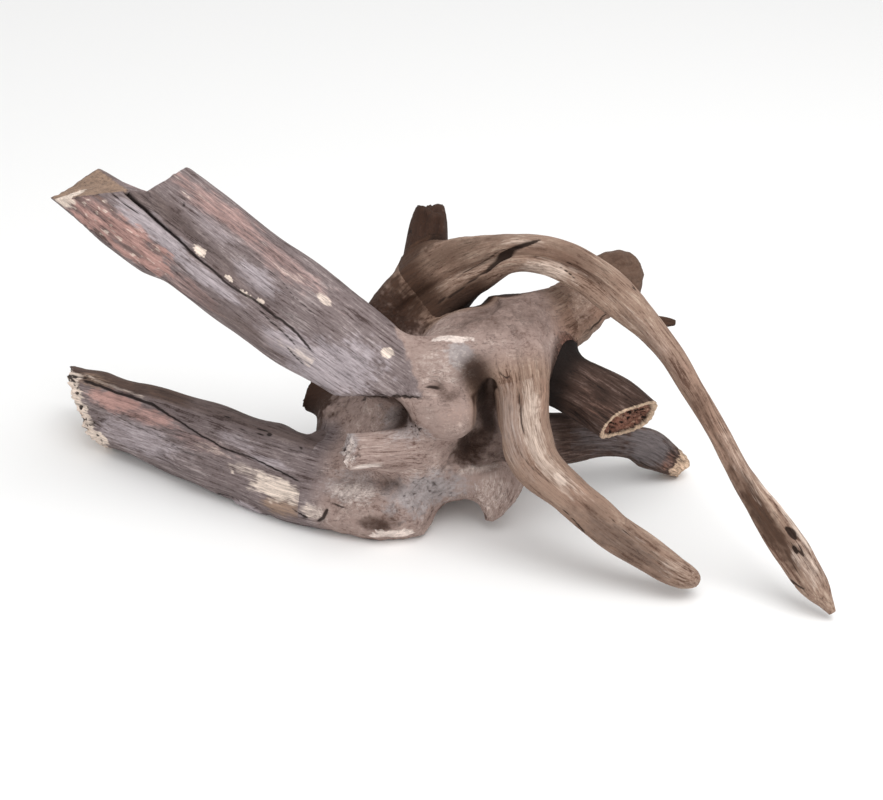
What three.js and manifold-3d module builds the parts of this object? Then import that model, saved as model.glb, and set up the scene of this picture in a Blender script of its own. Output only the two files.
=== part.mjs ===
// Sinker wood: a dense, waterlogged root crown with two heavy log ends, arched and trailing roots and broken
// stubs. It grew as one piece, and is parted here only where its main limbs fork from the crown.
// Millimetres, +Z up. The origin is the middle of the worn flat under the crown, on the floor.
// +X runs from the log ends towards the root tips, and -Y is the side that is looked at.
import * as THREE from "three";
import { mergeVertices } from "three/addons/utils/BufferGeometryUtils.js";
import Module from "manifold-3d";

const wasm = await Module();
wasm.setup();

// Driving dimensions
const GAP = 0.3; // left between two limbs' flat faces where they are parted
const FILLET = 13; // how softly limbs and lumps grow into each other
const HOLLOW_EDGE = 5; // how softly a hollow's rim is rounded
const CROWN_CELL = 7.3; // spacing of the crown's surface points
const STUB_REACH = 9; // how far the crown's own stub of a limb is drawn past the fork before it is cut
const STUB_CLEARANCE = 1.8; // the cut is this much wider than the limb where it takes that stub away
const SQUARENESS = 2.3; // exponent of a limb's section: 2 is an ellipse, more is boxier
const STATIONS = 56; // points along a spine at which its nearest stretch is looked for
const SETTLE_REACH = 34; // past its fork, a limb still swells into what it grows from
const MOST_SWELL = 7; // how much it swells there at most
const MOST_SHRINK = 0.85; // and the least share of its own radius that it keeps there
const TIP_FACE = 0.28; // share of the section that is left as a face at the end of a rounded tip
const WAVES = [
  // slow waves round and along every limb: height as a share of the radius, length in mm, turns round it
  { height: 0.045, length: 13, turns: 2, shift: 0 },
  { height: 0.035, length: 7.3, turns: -3, shift: 1.7 },
];
const FRONT = new THREE.Vector3(0, -Math.cos(Math.PI / 6), Math.sin(Math.PI / 6)); // the side looked at
const UP_THE_PICTURE = new THREE.Vector3(0, -FRONT.z * Math.sign(FRONT.y), -FRONT.y);

const radians = THREE.MathUtils.degToRad;
const { lerp, clamp } = THREE.MathUtils;

// Every limb follows a spine of [x, y, z, half width, half depth]: width lies in the plane that is looked at,
// depth points at the viewer. It starts inside the crown and ends at the tip.
// fork is the distance along the spine at which it is parted from the crown.
// A ridge runs along the limb: at is its angle from the front, turning to the right of the way the limb grows,
// drift is how far that angle turns from fork to tip, and a groove is a ridge with a rise below 0.
// trim gives how much shorter the limb is at each angle, which slants or splinters its broken end.
// A limb with growsFrom is a short stub or twig, fused to what it grows from.
const limbs = [
  {
    name: "upper_log",
    colour: 0x7c6c68,
    spine: [
      [5, 18, 81, 20, 16],
      [-12, 20, 94, 22.5, 18],
      [-33, 26, 108, 24, 20],
      [-59, 32, 125, 25.5, 21],
      [-85, 36, 145, 25.5, 21],
      [-112, 40, 166, 25.5, 20],
      [-139, 44, 185, 25.5, 18],
      [-164, 48, 203, 25, 16],
    ],
    fork: 46,
    foot: 75, // its lower end stops here, measured up the picture, and overhangs the crown as a wedge
    sides: 26,
    rings: 18,
    ridges: [
      { at: -32, drift: 46, spread: 10, rise: -4.5, from: 0.14, to: 1 },
      { at: 62, drift: -8, spread: 22, rise: 3, from: 0, to: 1 },
      { at: -75, drift: 0, spread: 26, rise: 2, from: 0.1, to: 0.9 },
      { at: 12, drift: 25, spread: 16, rise: 1.4, from: 0.1, to: 1 },
      { at: -85, drift: 0, spread: 34, rise: 2.6, from: 0.66, to: 0.84 },
    ],
    trim: (angle) => {
      const [across, forward] = [Math.sin(angle), Math.cos(angle)];
      const lobe = 29 + 20 * across + 8 * forward + 12 * Math.max(0, -forward) * Math.max(0, -across);
      const slab = 49 + 9 * across - 4.5 * forward;
      return lerp(lobe, slab, smooth(0.02, 0.24, across));
    },
  },
  {
    name: "lower_log",
    colour: 0x75665f,
    spine: [
      [8, 12, 24, 22, 17],
      [-14, 14, 20, 23.5, 18],
      [-38, 22, 17.5, 23, 20],
      [-72, 40, 17, 22.5, 20],
      [-111, 64, 18, 21, 19],
      [-149, 88, 18, 19, 18],
      [-200, 118, 18, 18.5, 17],
    ],
    fork: 52,
    sides: 24,
    rings: 17,
    ridges: [
      { at: 18, drift: 30, spread: 9, rise: -3, from: 0, to: 1 },
      { at: 60, drift: 0, spread: 22, rise: 2, from: 0, to: 1 },
      { at: -40, drift: 10, spread: 20, rise: 1.6, from: 0, to: 0.8 },
      { at: 88, drift: 0, spread: 38, rise: 3, from: 0.34, to: 0.9 },
    ],
    trim: (angle) => 21 - 17 * Math.sin(angle) + 4 * Math.cos(angle) + 2 * Math.sin(5 * angle),
  },
  {
    name: "front_root",
    colour: 0x857062,
    spine: [
      [56, 36, 101, 19, 16],
      [62, 25, 97, 19, 16],
      [65, 8, 85, 15.5, 14],
      [66, -6, 71, 13, 13],
      [73, -17, 57, 12, 12],
      [89, -28, 45, 10.5, 11],
      [108, -39, 33, 9.5, 10],
      [126, -46, 22.5, 8.5, 9],
      [141, -51, 14.5, 7.5, 8],
      [155, -55, 9.5, 5.5, 6],
    ],
    fork: 34,
    sides: 16,
    rings: 18,
    ridges: [
      { at: -25, drift: -20, spread: 24, rise: 2.4, from: 0, to: 0.7 },
      { at: 35, drift: 20, spread: 20, rise: 1.5, from: 0, to: 0.8 },
      { at: 5, drift: 0, spread: 14, rise: -1.6, from: 0, to: 0.6 },
    ],
    trim: () => 0,
  },
  {
    name: "arch_root",
    colour: 0x7d6653,
    spine: [
      [-6, 66, 80, 18, 14],
      [5, 72, 98, 18, 14],
      [23, 75, 113, 17, 13],
      [43, 71, 126, 13.5, 11],
      [62, 63, 136, 9, 9.5],
      [82, 52, 139, 8.5, 8.5],
      [102, 39, 135, 9.5, 7.5],
      [120, 24, 125, 9, 7],
      [137, 9, 111, 6.5, 6.5],
      [151, -6, 94, 5.5, 5.5],
      [163, -19, 77, 5.4, 5],
      [174, -32, 60, 5.8, 5.2],
      [185.5, -44, 44, 6.4, 5.5],
      [198.5, -56, 29, 7.4, 6],
      [209, -65, 15.5, 7.4, 6],
      [215, -70, 8.5, 4, 4],
      [218.5, -73, 4, 1.8, 2.5],
    ],
    fork: 34,
    sides: 13,
    rings: 32,
    ridges: [
      { at: -55, drift: 60, spread: 28, rise: 2.6, from: 0, to: 0.5 },
      { at: 45, drift: 60, spread: 24, rise: 2.4, from: 0, to: 0.45 },
      { at: -5, drift: 60, spread: 13, rise: -3.2, from: 0, to: 0.42 },
      { at: -60, drift: 150, spread: 22, rise: 1.4, from: 0.4, to: 0.95 },
      { at: -95, drift: 0, spread: 40, rise: 2, from: 0.12, to: 0.38 },
      { at: -66, drift: 0, spread: 30, rise: 2.6, from: 0.82, to: 0.92 },
    ],
    trim: () => 0,
  },
  {
    name: "rear_limb",
    colour: 0x84695c,
    spine: [
      [58, 44, 98, 20, 17],
      [73, 50, 99, 18.5, 16],
      [90, 60, 101, 16.5, 15],
      [105, 72, 107, 14.5, 14],
      [118, 83, 112, 14.5, 14],
      [131, 92, 112, 12.5, 12],
    ],
    fork: 33,
    sides: 16,
    rings: 10,
    ridges: [
      { at: -50, drift: 10, spread: 24, rise: 2, from: 0, to: 0.9 },
      { at: 60, drift: 0, spread: 20, rise: 1.5, from: 0, to: 0.8 },
    ],
    trim: () => 0,
    roundTip: 9,
  },
  {
    name: "back_stub",
    growsFrom: "crown",
    spine: [
      [9, 78, 86, 18, 14],
      [13, 86, 103, 15, 12.5],
      [15.5, 94, 120, 12, 11],
      [17.5, 100, 135, 9.5, 9.5],
      [19, 103, 148, 6.5, 7.5],
    ],
    fork: 22,
    sides: 14,
    rings: 9,
    ridges: [{ at: 30, drift: 0, spread: 16, rise: -1.6, from: 0, to: 0.9 }],
    trim: (angle) => 1.5 + 1.5 * Math.sin(angle * 2),
  },
  {
    name: "hollow_stub",
    colour: 0x5e4437,
    spine: [
      [66, 52, 70, 16, 15],
      [80, 42, 75, 15, 14],
      [96, 30, 74, 14.5, 14],
      [112, 18, 69, 14.5, 13.5],
      [131, 4, 62, 14.5, 13],
    ],
    fork: 24,
    sides: 16,
    rings: 9,
    ridges: [
      { at: -70, drift: 0, spread: 22, rise: 1.8, from: 0, to: 1 },
      { at: 10, drift: 15, spread: 12, rise: -1.4, from: 0, to: 0.9 },
    ],
    trim: (angle) => 11 + 7 * Math.sin(angle) + 2.5 * Math.cos(angle) + Math.cos(3 * angle),
    hollow: 5,
  },
  {
    name: "low_root",
    colour: 0x54494a,
    spine: [
      [62, 42, 30, 16, 14],
      [78, 45, 32, 14.5, 13],
      [94, 48, 31.5, 13.5, 12],
      [112, 53, 29, 10.5, 11],
      [129, 57, 24, 8.5, 10],
      [141, 60, 17.5, 11, 9.5],
      [152.5, 61, 9.5, 8.8, 8],
      [161, 61, 4, 5.5, 6],
    ],
    fork: 30,
    sides: 14,
    rings: 15,
    ridges: [
      { at: -60, drift: 0, spread: 22, rise: 1.6, from: 0, to: 0.8 },
      { at: 40, drift: 0, spread: 20, rise: 1.2, from: 0.2, to: 0.9 },
    ],
    trim: () => 0,
  },
  {
    name: "rear_stump",
    growsFrom: "crown",
    spine: [
      [4, 58, 43, 21, 18],
      [-14, 66, 43, 18, 17],
      [-32, 74, 44, 14.5, 15],
      [-49, 80, 45, 11.5, 13],
    ],
    fork: 33,
    sides: 14,
    rings: 6,
    ridges: [{ at: 50, drift: 0, spread: 22, rise: 1.6, from: 0, to: 1 }],
    trim: (angle) => 2 * Math.cos(angle) + 1.5 * Math.sin(2 * angle),
  },
  {
    name: "broken_stub",
    growsFrom: "crown",
    spine: [
      [14, 12, 47, 14, 13],
      [2, 2, 52, 11.5, 11],
      [-11, -7, 57, 10, 10],
      [-27, -15, 62, 8.5, 9],
    ],
    fork: 18,
    sides: 12,
    rings: 6,
    ridges: [{ at: 60, drift: 0, spread: 20, rise: 1.5, from: 0, to: 1 }],
    trim: (angle) => 1.5 + 1.5 * Math.cos(3 * angle),
  },
  {
    name: "spur",
    growsFrom: "crown",
    spine: [
      [56, 18, 36, 14, 12],
      [56, 11, 25, 11, 9],
      [53, 7, 14, 6.5, 6],
      [50, 6, 6, 2, 2],
    ],
    fork: 14,
    sides: 10,
    rings: 5,
    ridges: [],
    trim: () => 0,
  },
  {
    name: "twig",
    growsFrom: "arch_root",
    spine: [
      [121, 22, 119, 3.4, 3],
      [131, 26, 115.5, 3.4, 3],
      [139, 30, 113, 2.8, 2.4],
      [145, 33, 111, 1.6, 1.6],
    ],
    fork: 0,
    sides: 7,
    rings: 5,
    ridges: [],
    trim: () => 0,
  },
];

// The crown's own swellings, each an ellipsoid: centre, then radii.
const lumps = [
  { name: "body", at: [16, 36, 42], size: [40, 33, 38] },
  { name: "shoulder", at: [48, 40, 87], size: [36, 28, 26] },
  { name: "foot", at: [-2, 9, 15], size: [24, 18, 19] },
  { name: "flank", at: [-22, 52, 34], size: [22, 20, 24] },
  { name: "knob", at: [30, 3, 74], size: [14, 12, 13] },
  { name: "small_knob", at: [17, 3, 80], size: [9, 8, 9] },
  { name: "ledge", at: [27, 17, 98], size: [19, 12, 13] },
  { name: "haunch", at: [42, 26, 28], size: [24, 19, 15] },
  { name: "back", at: [26, 70, 60], size: [34, 24, 40] },
  { name: "heel", at: [34, 60, 18], size: [26, 22, 20] },
];

// What rot and the shade between limbs have taken out of it.
const hollows = [
  { name: "slot beside the front root", at: [50, 4, 68], size: [6.5, 22, 24] },
  { name: "recess under the knob", at: [47, 6, 50], size: [12, 16, 12] },
  { name: "crease under the upper log", at: [-38, -1, 75], size: [12, 15, 5] },
  { name: "pit on the back", at: [30, 96, 62], size: [14, 12, 18] },
];

// 1 at an angle of centre degrees, and falling away on both sides over spread degrees.
function bell(angle, centre, spread) {
  const turn = Math.atan2(Math.sin(angle - radians(centre)), Math.cos(angle - radians(centre)));
  return Math.exp(-((turn / radians(spread)) ** 2));
}

// A limb's path, its sizes along it, and the stations at which its nearest stretch is looked for.
function prepare(limb) {
  limb.path = new THREE.CatmullRomCurve3(
    limb.spine.map(([x, y, z]) => new THREE.Vector3(x, y, z)),
    false,
    "catmullrom",
  );
  limb.sizes = new THREE.CatmullRomCurve3(
    limb.spine.map(([, , , width, depth]) => new THREE.Vector3(width, depth, 0)),
    false,
    "catmullrom",
  );
  limb.length = limb.path.getLength();
  limb.stations = [];
  for (let i = 0; i <= STATIONS; i++) limb.stations.push(stationAt(limb, (limb.length * i) / STATIONS));
}

// Centre, directions and half sizes of the section at a distance along the spine.
function stationAt(limb, distance) {
  const share = clamp(distance / limb.length, 0, 1);
  const sizes = limb.sizes.getPoint(limb.path.getUtoTmapping(share));
  const along = limb.path.getTangentAt(share);
  const front = FRONT.clone().addScaledVector(along, -FRONT.dot(along)).normalize();
  return {
    centre: limb.path.getPointAt(share),
    along,
    front,
    right: new THREE.Vector3().crossVectors(along, front),
    width: sizes.x,
    depth: sizes.y,
  };
}

// Distance from the spine to the surface at an angle: a boxy ellipse, with the limb's ridges and slow waves.
function radiusAt(limb, station, distance, angle) {
  const flat = Math.abs(Math.cos(angle) / station.depth) ** SQUARENESS;
  const wide = Math.abs(Math.sin(angle) / station.width) ** SQUARENESS;
  const plain = (flat + wide) ** (-1 / SQUARENESS);
  const share = distance / limb.length;
  let rise = 0;
  for (const ridge of limb.ridges) {
    const begun = smooth(ridge.from - 0.08, ridge.from + 0.04, share);
    const ended = smooth(ridge.to - 0.06, ridge.to + 0.08, share);
    rise += ridge.rise * begun * (1 - ended) * bell(angle, ridge.at + ridge.drift * share, ridge.spread);
  }
  let wave = 0;
  for (const { height, length, turns, shift } of WAVES)
    wave += height * Math.sin(distance / length + turns * angle + shift);
  return Math.max(plain * (1 + wave) + rise * Math.min(1, plain / 9), 0.8);
}

function smooth(low, high, value) {
  const share = clamp((value - low) / (high - low), 0, 1);
  return share * share * (3 - 2 * share);
}

// Roughly how far a point lies outside a limb.
function outsideLimb(limb, point, reach) {
  let nearest = 0;
  let least = Infinity;
  limb.stations.forEach((station, index) => {
    const away = station.centre.distanceToSquared(point);
    if (away < least) [least, nearest] = [away, index];
  });
  const step = limb.length / STATIONS;
  const coarse = limb.stations[nearest];
  const shift = point.clone().sub(coarse.centre).dot(coarse.along);
  const distance = clamp(nearest * step + clamp(shift, -step, step), 0, limb.length);
  const station = stationAt(limb, distance);
  const offset = point.clone().sub(station.centre);
  const [forward, sideways] = [offset.dot(station.front), offset.dot(station.right)];
  const past = offset.dot(station.along);
  const angle = Math.atan2(sideways, forward);
  const side = Math.hypot(forward, sideways) - radiusAt(limb, station, distance, angle);
  const beyond = distance <= 0 ? -past : distance >= limb.length ? past : -Infinity;
  const belowFoot = limb.foot ? limb.foot - point.dot(UP_THE_PICTURE) : -Infinity;
  return Math.max(side, beyond, distance + past - reach, belowFoot);
}

// Roughly how far a point lies outside an ellipsoid.
function outsideLump(lump, point) {
  const [x, y, z] = [0, 1, 2].map((axis) => point.getComponent(axis) - lump.at[axis]);
  const [a, b, c] = lump.size;
  const scaled = Math.hypot(x / a, y / b, z / c);
  const steep = Math.hypot(x / (a * a), y / (b * b), z / (c * c));
  return steep === 0 ? -Math.min(a, b, c) : (scaled * (scaled - 1)) / steep;
}

// The lesser of two distances, rounded where they are nearly equal, so that two shapes grow together.
function grown(one, other, softness) {
  const share = Math.max(softness - Math.abs(one - other), 0) / softness;
  return Math.min(one, other) - (share * share * softness) / 4;
}

// How far a point lies outside the whole wood. With stubs, limbs end just past their forks.
function outsideWood(point, stubs) {
  let away = Infinity;
  for (const lump of lumps) away = grown(away, outsideLump(lump, point), FILLET);
  for (const limb of limbs.filter((each) => each.fork > 0)) {
    const reach = stubs ? limb.fork + STUB_REACH : limb.length + 1;
    away = grown(away, outsideLimb(limb, point, reach), FILLET);
  }
  for (const hollow of hollows) away = -grown(-away, outsideLump(hollow, point), HOLLOW_EDGE);
  return away;
}

// A closed skin over the places where field is 0, one point in each cell that it crosses.
function skinOf(field, low, high, cell) {
  const count = low.map((value, axis) => Math.ceil((high[axis] - value) / cell));
  const [nx, ny, nz] = count.map((value) => value + 1);
  const at = (i, j, k) => (k * ny + j) * nx + i;
  const value = new Float64Array(nx * ny * nz);
  const point = new THREE.Vector3();
  for (let k = 0; k < nz; k++)
    for (let j = 0; j < ny; j++)
      for (let i = 0; i < nx; i++) {
        point.set(low[0] + i * cell, low[1] + j * cell, low[2] + k * cell);
        value[at(i, j, k)] = field(point);
      }
  for (let k = 0; k < nz - 1; k++)
    for (let j = 0; j < ny - 1; j++)
      for (let i = 0; i < nx - 1; i++) {
        untwist(value, [at(i, j, k), at(i + 1, j, k), at(i + 1, j + 1, k), at(i, j + 1, k)]);
        untwist(value, [at(i, j, k), at(i + 1, j, k), at(i + 1, j, k + 1), at(i, j, k + 1)]);
        untwist(value, [at(i, j, k), at(i, j + 1, k), at(i, j + 1, k + 1), at(i, j, k + 1)]);
      }
  const corners = [0, 1, 2, 3, 4, 5, 6, 7].map((n) => [n & 1, (n >> 1) & 1, (n >> 2) & 1]);
  const edges = [];
  for (let a = 0; a < 8; a++) for (const bit of [1, 2, 4]) if (!(a & bit)) edges.push([a, a | bit]);
  const vertex = new Int32Array(nx * ny * nz).fill(-1);
  const positions = [];
  for (let k = 0; k < nz - 1; k++)
    for (let j = 0; j < ny - 1; j++)
      for (let i = 0; i < nx - 1; i++) {
        const held = corners.map(([x, y, z]) => value[at(i + x, j + y, k + z)]);
        const sum = [0, 0, 0];
        let crossings = 0;
        for (const [a, b] of edges) {
          if (held[a] < 0 === held[b] < 0) continue;
          const share = held[a] / (held[a] - held[b]);
          crossings++;
          for (let axis = 0; axis < 3; axis++) sum[axis] += lerp(corners[a][axis], corners[b][axis], share);
        }
        if (!crossings) continue;
        vertex[at(i, j, k)] = positions.length / 3;
        [i, j, k].forEach((index, axis) => positions.push(low[axis] + (index + sum[axis] / crossings) * cell));
      }
  const faces = [];
  const quad = (a, b, c, d, flip) => (flip ? faces.push(a, c, b, a, d, c) : faces.push(a, b, c, a, c, d));
  for (let k = 1; k < nz - 1; k++)
    for (let j = 1; j < ny - 1; j++)
      for (let i = 1; i < nx - 1; i++) {
        const inside = value[at(i, j, k)] < 0;
        const v = (x, y, z) => vertex[at(i - x, j - y, k - z)];
        const crosses = (x, y, z) => inside !== value[at(i + x, j + y, k + z)] < 0;
        if (crosses(1, 0, 0)) quad(v(0, 0, 0), v(0, 1, 0), v(0, 1, 1), v(0, 0, 1), !inside);
        if (crosses(0, 1, 0)) quad(v(0, 0, 0), v(0, 0, 1), v(1, 0, 1), v(1, 0, 0), !inside);
        if (crosses(0, 0, 1)) quad(v(0, 0, 0), v(1, 0, 0), v(1, 1, 0), v(0, 1, 0), !inside);
      }
  return new THREE.BufferGeometry()
    .setAttribute("position", new THREE.Float32BufferAttribute(positions, 3))
    .setIndex(faces);
}

// Distance from the spine to a limb's surface, which near the fork settles onto the skin of the whole wood.
function settledRadius(limb, station, distance, angle, outward) {
  const own = radiusAt(limb, station, distance, angle);
  const left = 1 - (distance - limb.fork) / SETTLE_REACH;
  if (limb.fork === 0 || left < 0) return own;
  let radius = own;
  for (let pass = 0; pass < 5; pass++)
    radius -= outsideWood(station.centre.clone().addScaledVector(outward, radius), false);
  return clamp(radius, own * MOST_SHRINK, own + MOST_SWELL * left);
}

// Where only opposite corners of a grid square lie inside, two sheets of the skin would share an edge.
// The corner that is nearest to the skin changes sides.
function untwist(value, square) {
  const inside = square.map((index) => value[index] < 0);
  if (inside[0] !== inside[2] || inside[1] !== inside[3] || inside[0] === inside[1]) return;
  const nearest = square.reduce((a, b) => (Math.abs(value[a]) < Math.abs(value[b]) ? a : b));
  value[nearest] = -0.5 * value[nearest];
}

// A limb from its fork to its tip: a cylinder carried along the spine and swelled to its sections.
function limbGeometry(limb) {
  const start = limb.fork + (limb.growsFrom ? -GAP : GAP / 2);
  return carried(limb, limb.rings, (share, angle, onAxis) => {
    const full = limb.length - (onAxis ? meanTrim(limb) : limb.trim(angle));
    const distance = lerp(start, full, share) - (onAxis && share > 0.5 ? (limb.hollow ?? 0) : 0);
    const left = clamp((full - distance) / (limb.roundTip ?? 1), 0, 1);
    const scale = limb.roundTip ? lerp(TIP_FACE, 1, Math.sqrt(1 - (1 - left) ** 2)) : 1;
    return { distance, scale, extra: 0 };
  });
}

// The room that a limb takes up just past its fork, with a little clearance round it.
function limbRoom(limb) {
  const rings = 6;
  return carried(limb, rings, (share) => {
    const extra = lerp(STUB_CLEARANCE, GAP, smooth(0.4, 0.7, share));
    return { distance: limb.fork - GAP / 2 + share * SETTLE_REACH, scale: 1, extra };
  });
}

// A cylinder bent along a limb's spine. placed gives each point's distance along it and what its radius is
// multiplied by and grows by.
function carried(limb, rings, placed) {
  const geometry = new THREE.CylinderGeometry(1, 1, 1, limb.sides, rings);
  const position = geometry.getAttribute("position");
  for (let index = 0; index < position.count; index++) {
    const [x, y, z] = [position.getX(index), position.getY(index), position.getZ(index)];
    const onAxis = Math.hypot(x, z) < 0.5;
    const angle = Math.atan2(x, z);
    const { distance, scale, extra } = placed(y + 0.5, angle, onAxis);
    const station = stationAt(limb, distance);
    const outward = station.front.clone().multiplyScalar(Math.cos(angle));
    outward.addScaledVector(station.right, Math.sin(angle));
    const own = settledRadius(limb, station, Math.min(distance, limb.length), angle, outward);
    const radius = onAxis ? 0 : own * scale + extra;
    const place = station.centre.clone().addScaledVector(outward, radius);
    position.setXYZ(index, place.x, place.y, place.z);
  }
  return geometry;
}

function meanTrim(limb) {
  const angles = Array.from({ length: limb.sides }, (_, index) => (2 * Math.PI * index) / limb.sides);
  return angles.reduce((sum, angle) => sum + limb.trim(angle), 0) / limb.sides;
}

// A closed geometry as a solid, turned to face outwards.
function solidOf(geometry) {
  const bare = new THREE.BufferGeometry().setAttribute("position", geometry.getAttribute("position"));
  bare.setIndex(geometry.getIndex());
  const merged = mergeVertices(bare, 1e-3);
  const triVerts = new Uint32Array(merged.getIndex().array);
  const vertProperties = merged.getAttribute("position").array;
  const made = new wasm.Manifold(new wasm.Mesh({ numProp: 3, vertProperties, triVerts }));
  if (made.volume() > 0) return made;
  const turned = triVerts.map((_, index) => triVerts[index - (index % 3) + [0, 2, 1][index % 3]]);
  return new wasm.Manifold(new wasm.Mesh({ numProp: 3, vertProperties, triVerts: turned }));
}

function meshOf(name, solid, colour) {
  const largest = solid.decompose().reduce((a, b) => (a.volume() > b.volume() ? a : b));
  const { numProp, vertProperties, triVerts } = largest.getMesh();
  const positions = [];
  for (let i = 0; i < vertProperties.length; i += numProp) positions.push(...vertProperties.subarray(i, i + 3));
  const geometry = new THREE.BufferGeometry()
    .setAttribute("position", new THREE.Float32BufferAttribute(positions, 3))
    .setIndex([...triVerts]);
  geometry.computeVertexNormals();
  const material = new THREE.MeshStandardMaterial({ color: colour, roughness: 0.9, metalness: 0 });
  const mesh = new THREE.Mesh(geometry, material);
  mesh.name = name;
  return mesh;
}

limbs.forEach(prepare);

// Everything below the floor is worn away, which leaves a small flat under each foot.
const floor = solidOf(new THREE.BoxGeometry(900, 900, 100).translate(0, 0, -50));

const mainLimbs = limbs.filter((limb) => !limb.growsFrom);
const fusedTo = (name) => limbs.filter((limb) => limb.growsFrom === name);

let crown = solidOf(skinOf((point) => outsideWood(point, true), [-78, -48, -28], [134, 126, 146], CROWN_CELL));
for (const limb of fusedTo("crown"))
  crown = crown.subtract(solidOf(limbRoom(limb))).add(solidOf(limbGeometry(limb)));
for (const limb of mainLimbs) crown = crown.subtract(solidOf(limbRoom(limb)));

const wood = new THREE.Group();
wood.add(meshOf("crown", crown.subtract(floor), 0x7d6a5e));
for (const limb of mainLimbs) {
  const twigs = fusedTo(limb.name).map((twig) => solidOf(limbGeometry(twig)));
  const whole = twigs.reduce((sum, twig) => sum.add(twig), solidOf(limbGeometry(limb)));
  wood.add(meshOf(limb.name, whole.subtract(floor), limb.colour));
}

export default wood;
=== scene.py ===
from types import SimpleNamespace

import bpy
import numpy as np
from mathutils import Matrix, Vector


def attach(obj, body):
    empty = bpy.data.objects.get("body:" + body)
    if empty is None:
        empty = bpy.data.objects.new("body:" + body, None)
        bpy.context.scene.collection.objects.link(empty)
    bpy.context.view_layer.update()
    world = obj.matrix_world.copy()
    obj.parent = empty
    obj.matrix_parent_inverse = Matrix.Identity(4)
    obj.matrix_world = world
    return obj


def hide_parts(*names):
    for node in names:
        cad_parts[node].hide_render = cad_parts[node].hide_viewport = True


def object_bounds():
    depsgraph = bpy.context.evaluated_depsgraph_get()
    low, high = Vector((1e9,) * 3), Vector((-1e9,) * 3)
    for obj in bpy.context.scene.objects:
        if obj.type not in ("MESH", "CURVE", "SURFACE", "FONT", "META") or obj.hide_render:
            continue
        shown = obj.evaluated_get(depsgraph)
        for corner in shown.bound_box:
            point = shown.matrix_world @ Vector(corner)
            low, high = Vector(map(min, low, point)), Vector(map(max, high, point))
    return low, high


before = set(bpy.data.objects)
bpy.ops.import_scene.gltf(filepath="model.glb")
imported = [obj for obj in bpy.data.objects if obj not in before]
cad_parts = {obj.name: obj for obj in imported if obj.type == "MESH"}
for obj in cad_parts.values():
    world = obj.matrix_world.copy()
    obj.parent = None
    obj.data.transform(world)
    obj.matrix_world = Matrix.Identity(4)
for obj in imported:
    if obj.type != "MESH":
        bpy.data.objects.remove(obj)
cad_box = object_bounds()

# Crown
# The gnarled middle that all limbs grow from: hard pinkish-beige wood, worn smooth on its ledges and knobs,
# with painted shade darkening its slots and recesses. The broken stubs and the spur are fused to it. It is
# grown as lumps and limbs that melt into each other, then carved along their grain.
MM = 0.001
FILLET = 13  # how softly limbs and lumps grow into each other
HOLLOW_EDGE = 5  # how softly a hollow's rim is rounded
SQUARENESS = 2.3  # exponent of a limb's section: 2 is an ellipse, more is boxier
TABLE_STEP = 0.5  # a limb's tables are read off this far apart along it
NEAREST_STEP = 8  # table rows between the places at which a limb's nearest stretch is looked for
SETTLE_REACH = 34  # past its fork, a limb still swells into what it grows from
MOST_SWELL = 7  # how much it swells there at most
STUB_REACH = 5  # the crown goes on inside a limb this far past the fork
STUB_SINK = 2.5  # and tapers by this much there, so that the limb covers it
CROWN_CELL = 3.2  # spacing of the crown's first surface points, halved twice
CROWN_LOW = (-78, -48, -8)  # the box that those points fill
CROWN_HIGH = (134, 126, 150)
FAR = 26  # a limb further off than this has no say in the skin's place
NOISE_GAIN = 1.7  # brings the noise to about -1 to 1
BUMP = 0.7  # strength of the finest relief, which only the shading shows
BUMP_HEIGHT = 0.0011  # its height in metres
FRONT = np.array((0, -np.cos(np.pi / 6), np.sin(np.pi / 6)))  # the side looked at
UP_THE_PICTURE = np.array((0, np.sin(np.pi / 6), np.cos(np.pi / 6)))

slopes = np.random.default_rng(7).normal(size=(1024, 3))
slopes /= np.linalg.norm(slopes, axis=1)[:, None]


def noise(points, seed=0):
    """Gradient noise, about -1 to 1: a random slope at each whole-number corner, blended by 6t^5 - 15t^4 +
    10t^3."""
    corner = np.floor(points).astype(np.int64)
    inside = points - corner
    blend = inside**3 * (inside * (inside * 6 - 15) + 10)
    total = np.zeros(len(points))
    for step in np.ndindex(2, 2, 2):
        mixed = (corner + step) @ np.array((73856093, 19349663, 83492791)) + seed * 2654435761
        mixed = ((mixed ^ (mixed >> 13)) & 0x7FFFFFFF) * 1274126177
        slope = slopes[((mixed ^ (mixed >> 16)) >> 3) & 1023]
        weight = np.prod(np.where(step, blend, 1 - blend), axis=1)
        total += weight * np.sum(slope * (inside - step), axis=1)
    return total * NOISE_GAIN


def smooth(low, high, value):
    """0 below low, 1 above high, and 3t^2 - 2t^3 between."""
    share = np.clip((value - low) / (high - low), 0, 1)
    return share * share * (3 - 2 * share)


def bell(turn, spread):
    """exp(-(turn / spread)^2), with the turn in radians taken the short way round."""
    short = np.arctan2(np.sin(turn), np.cos(turn))
    return np.exp(-((short / spread) ** 2))


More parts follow.
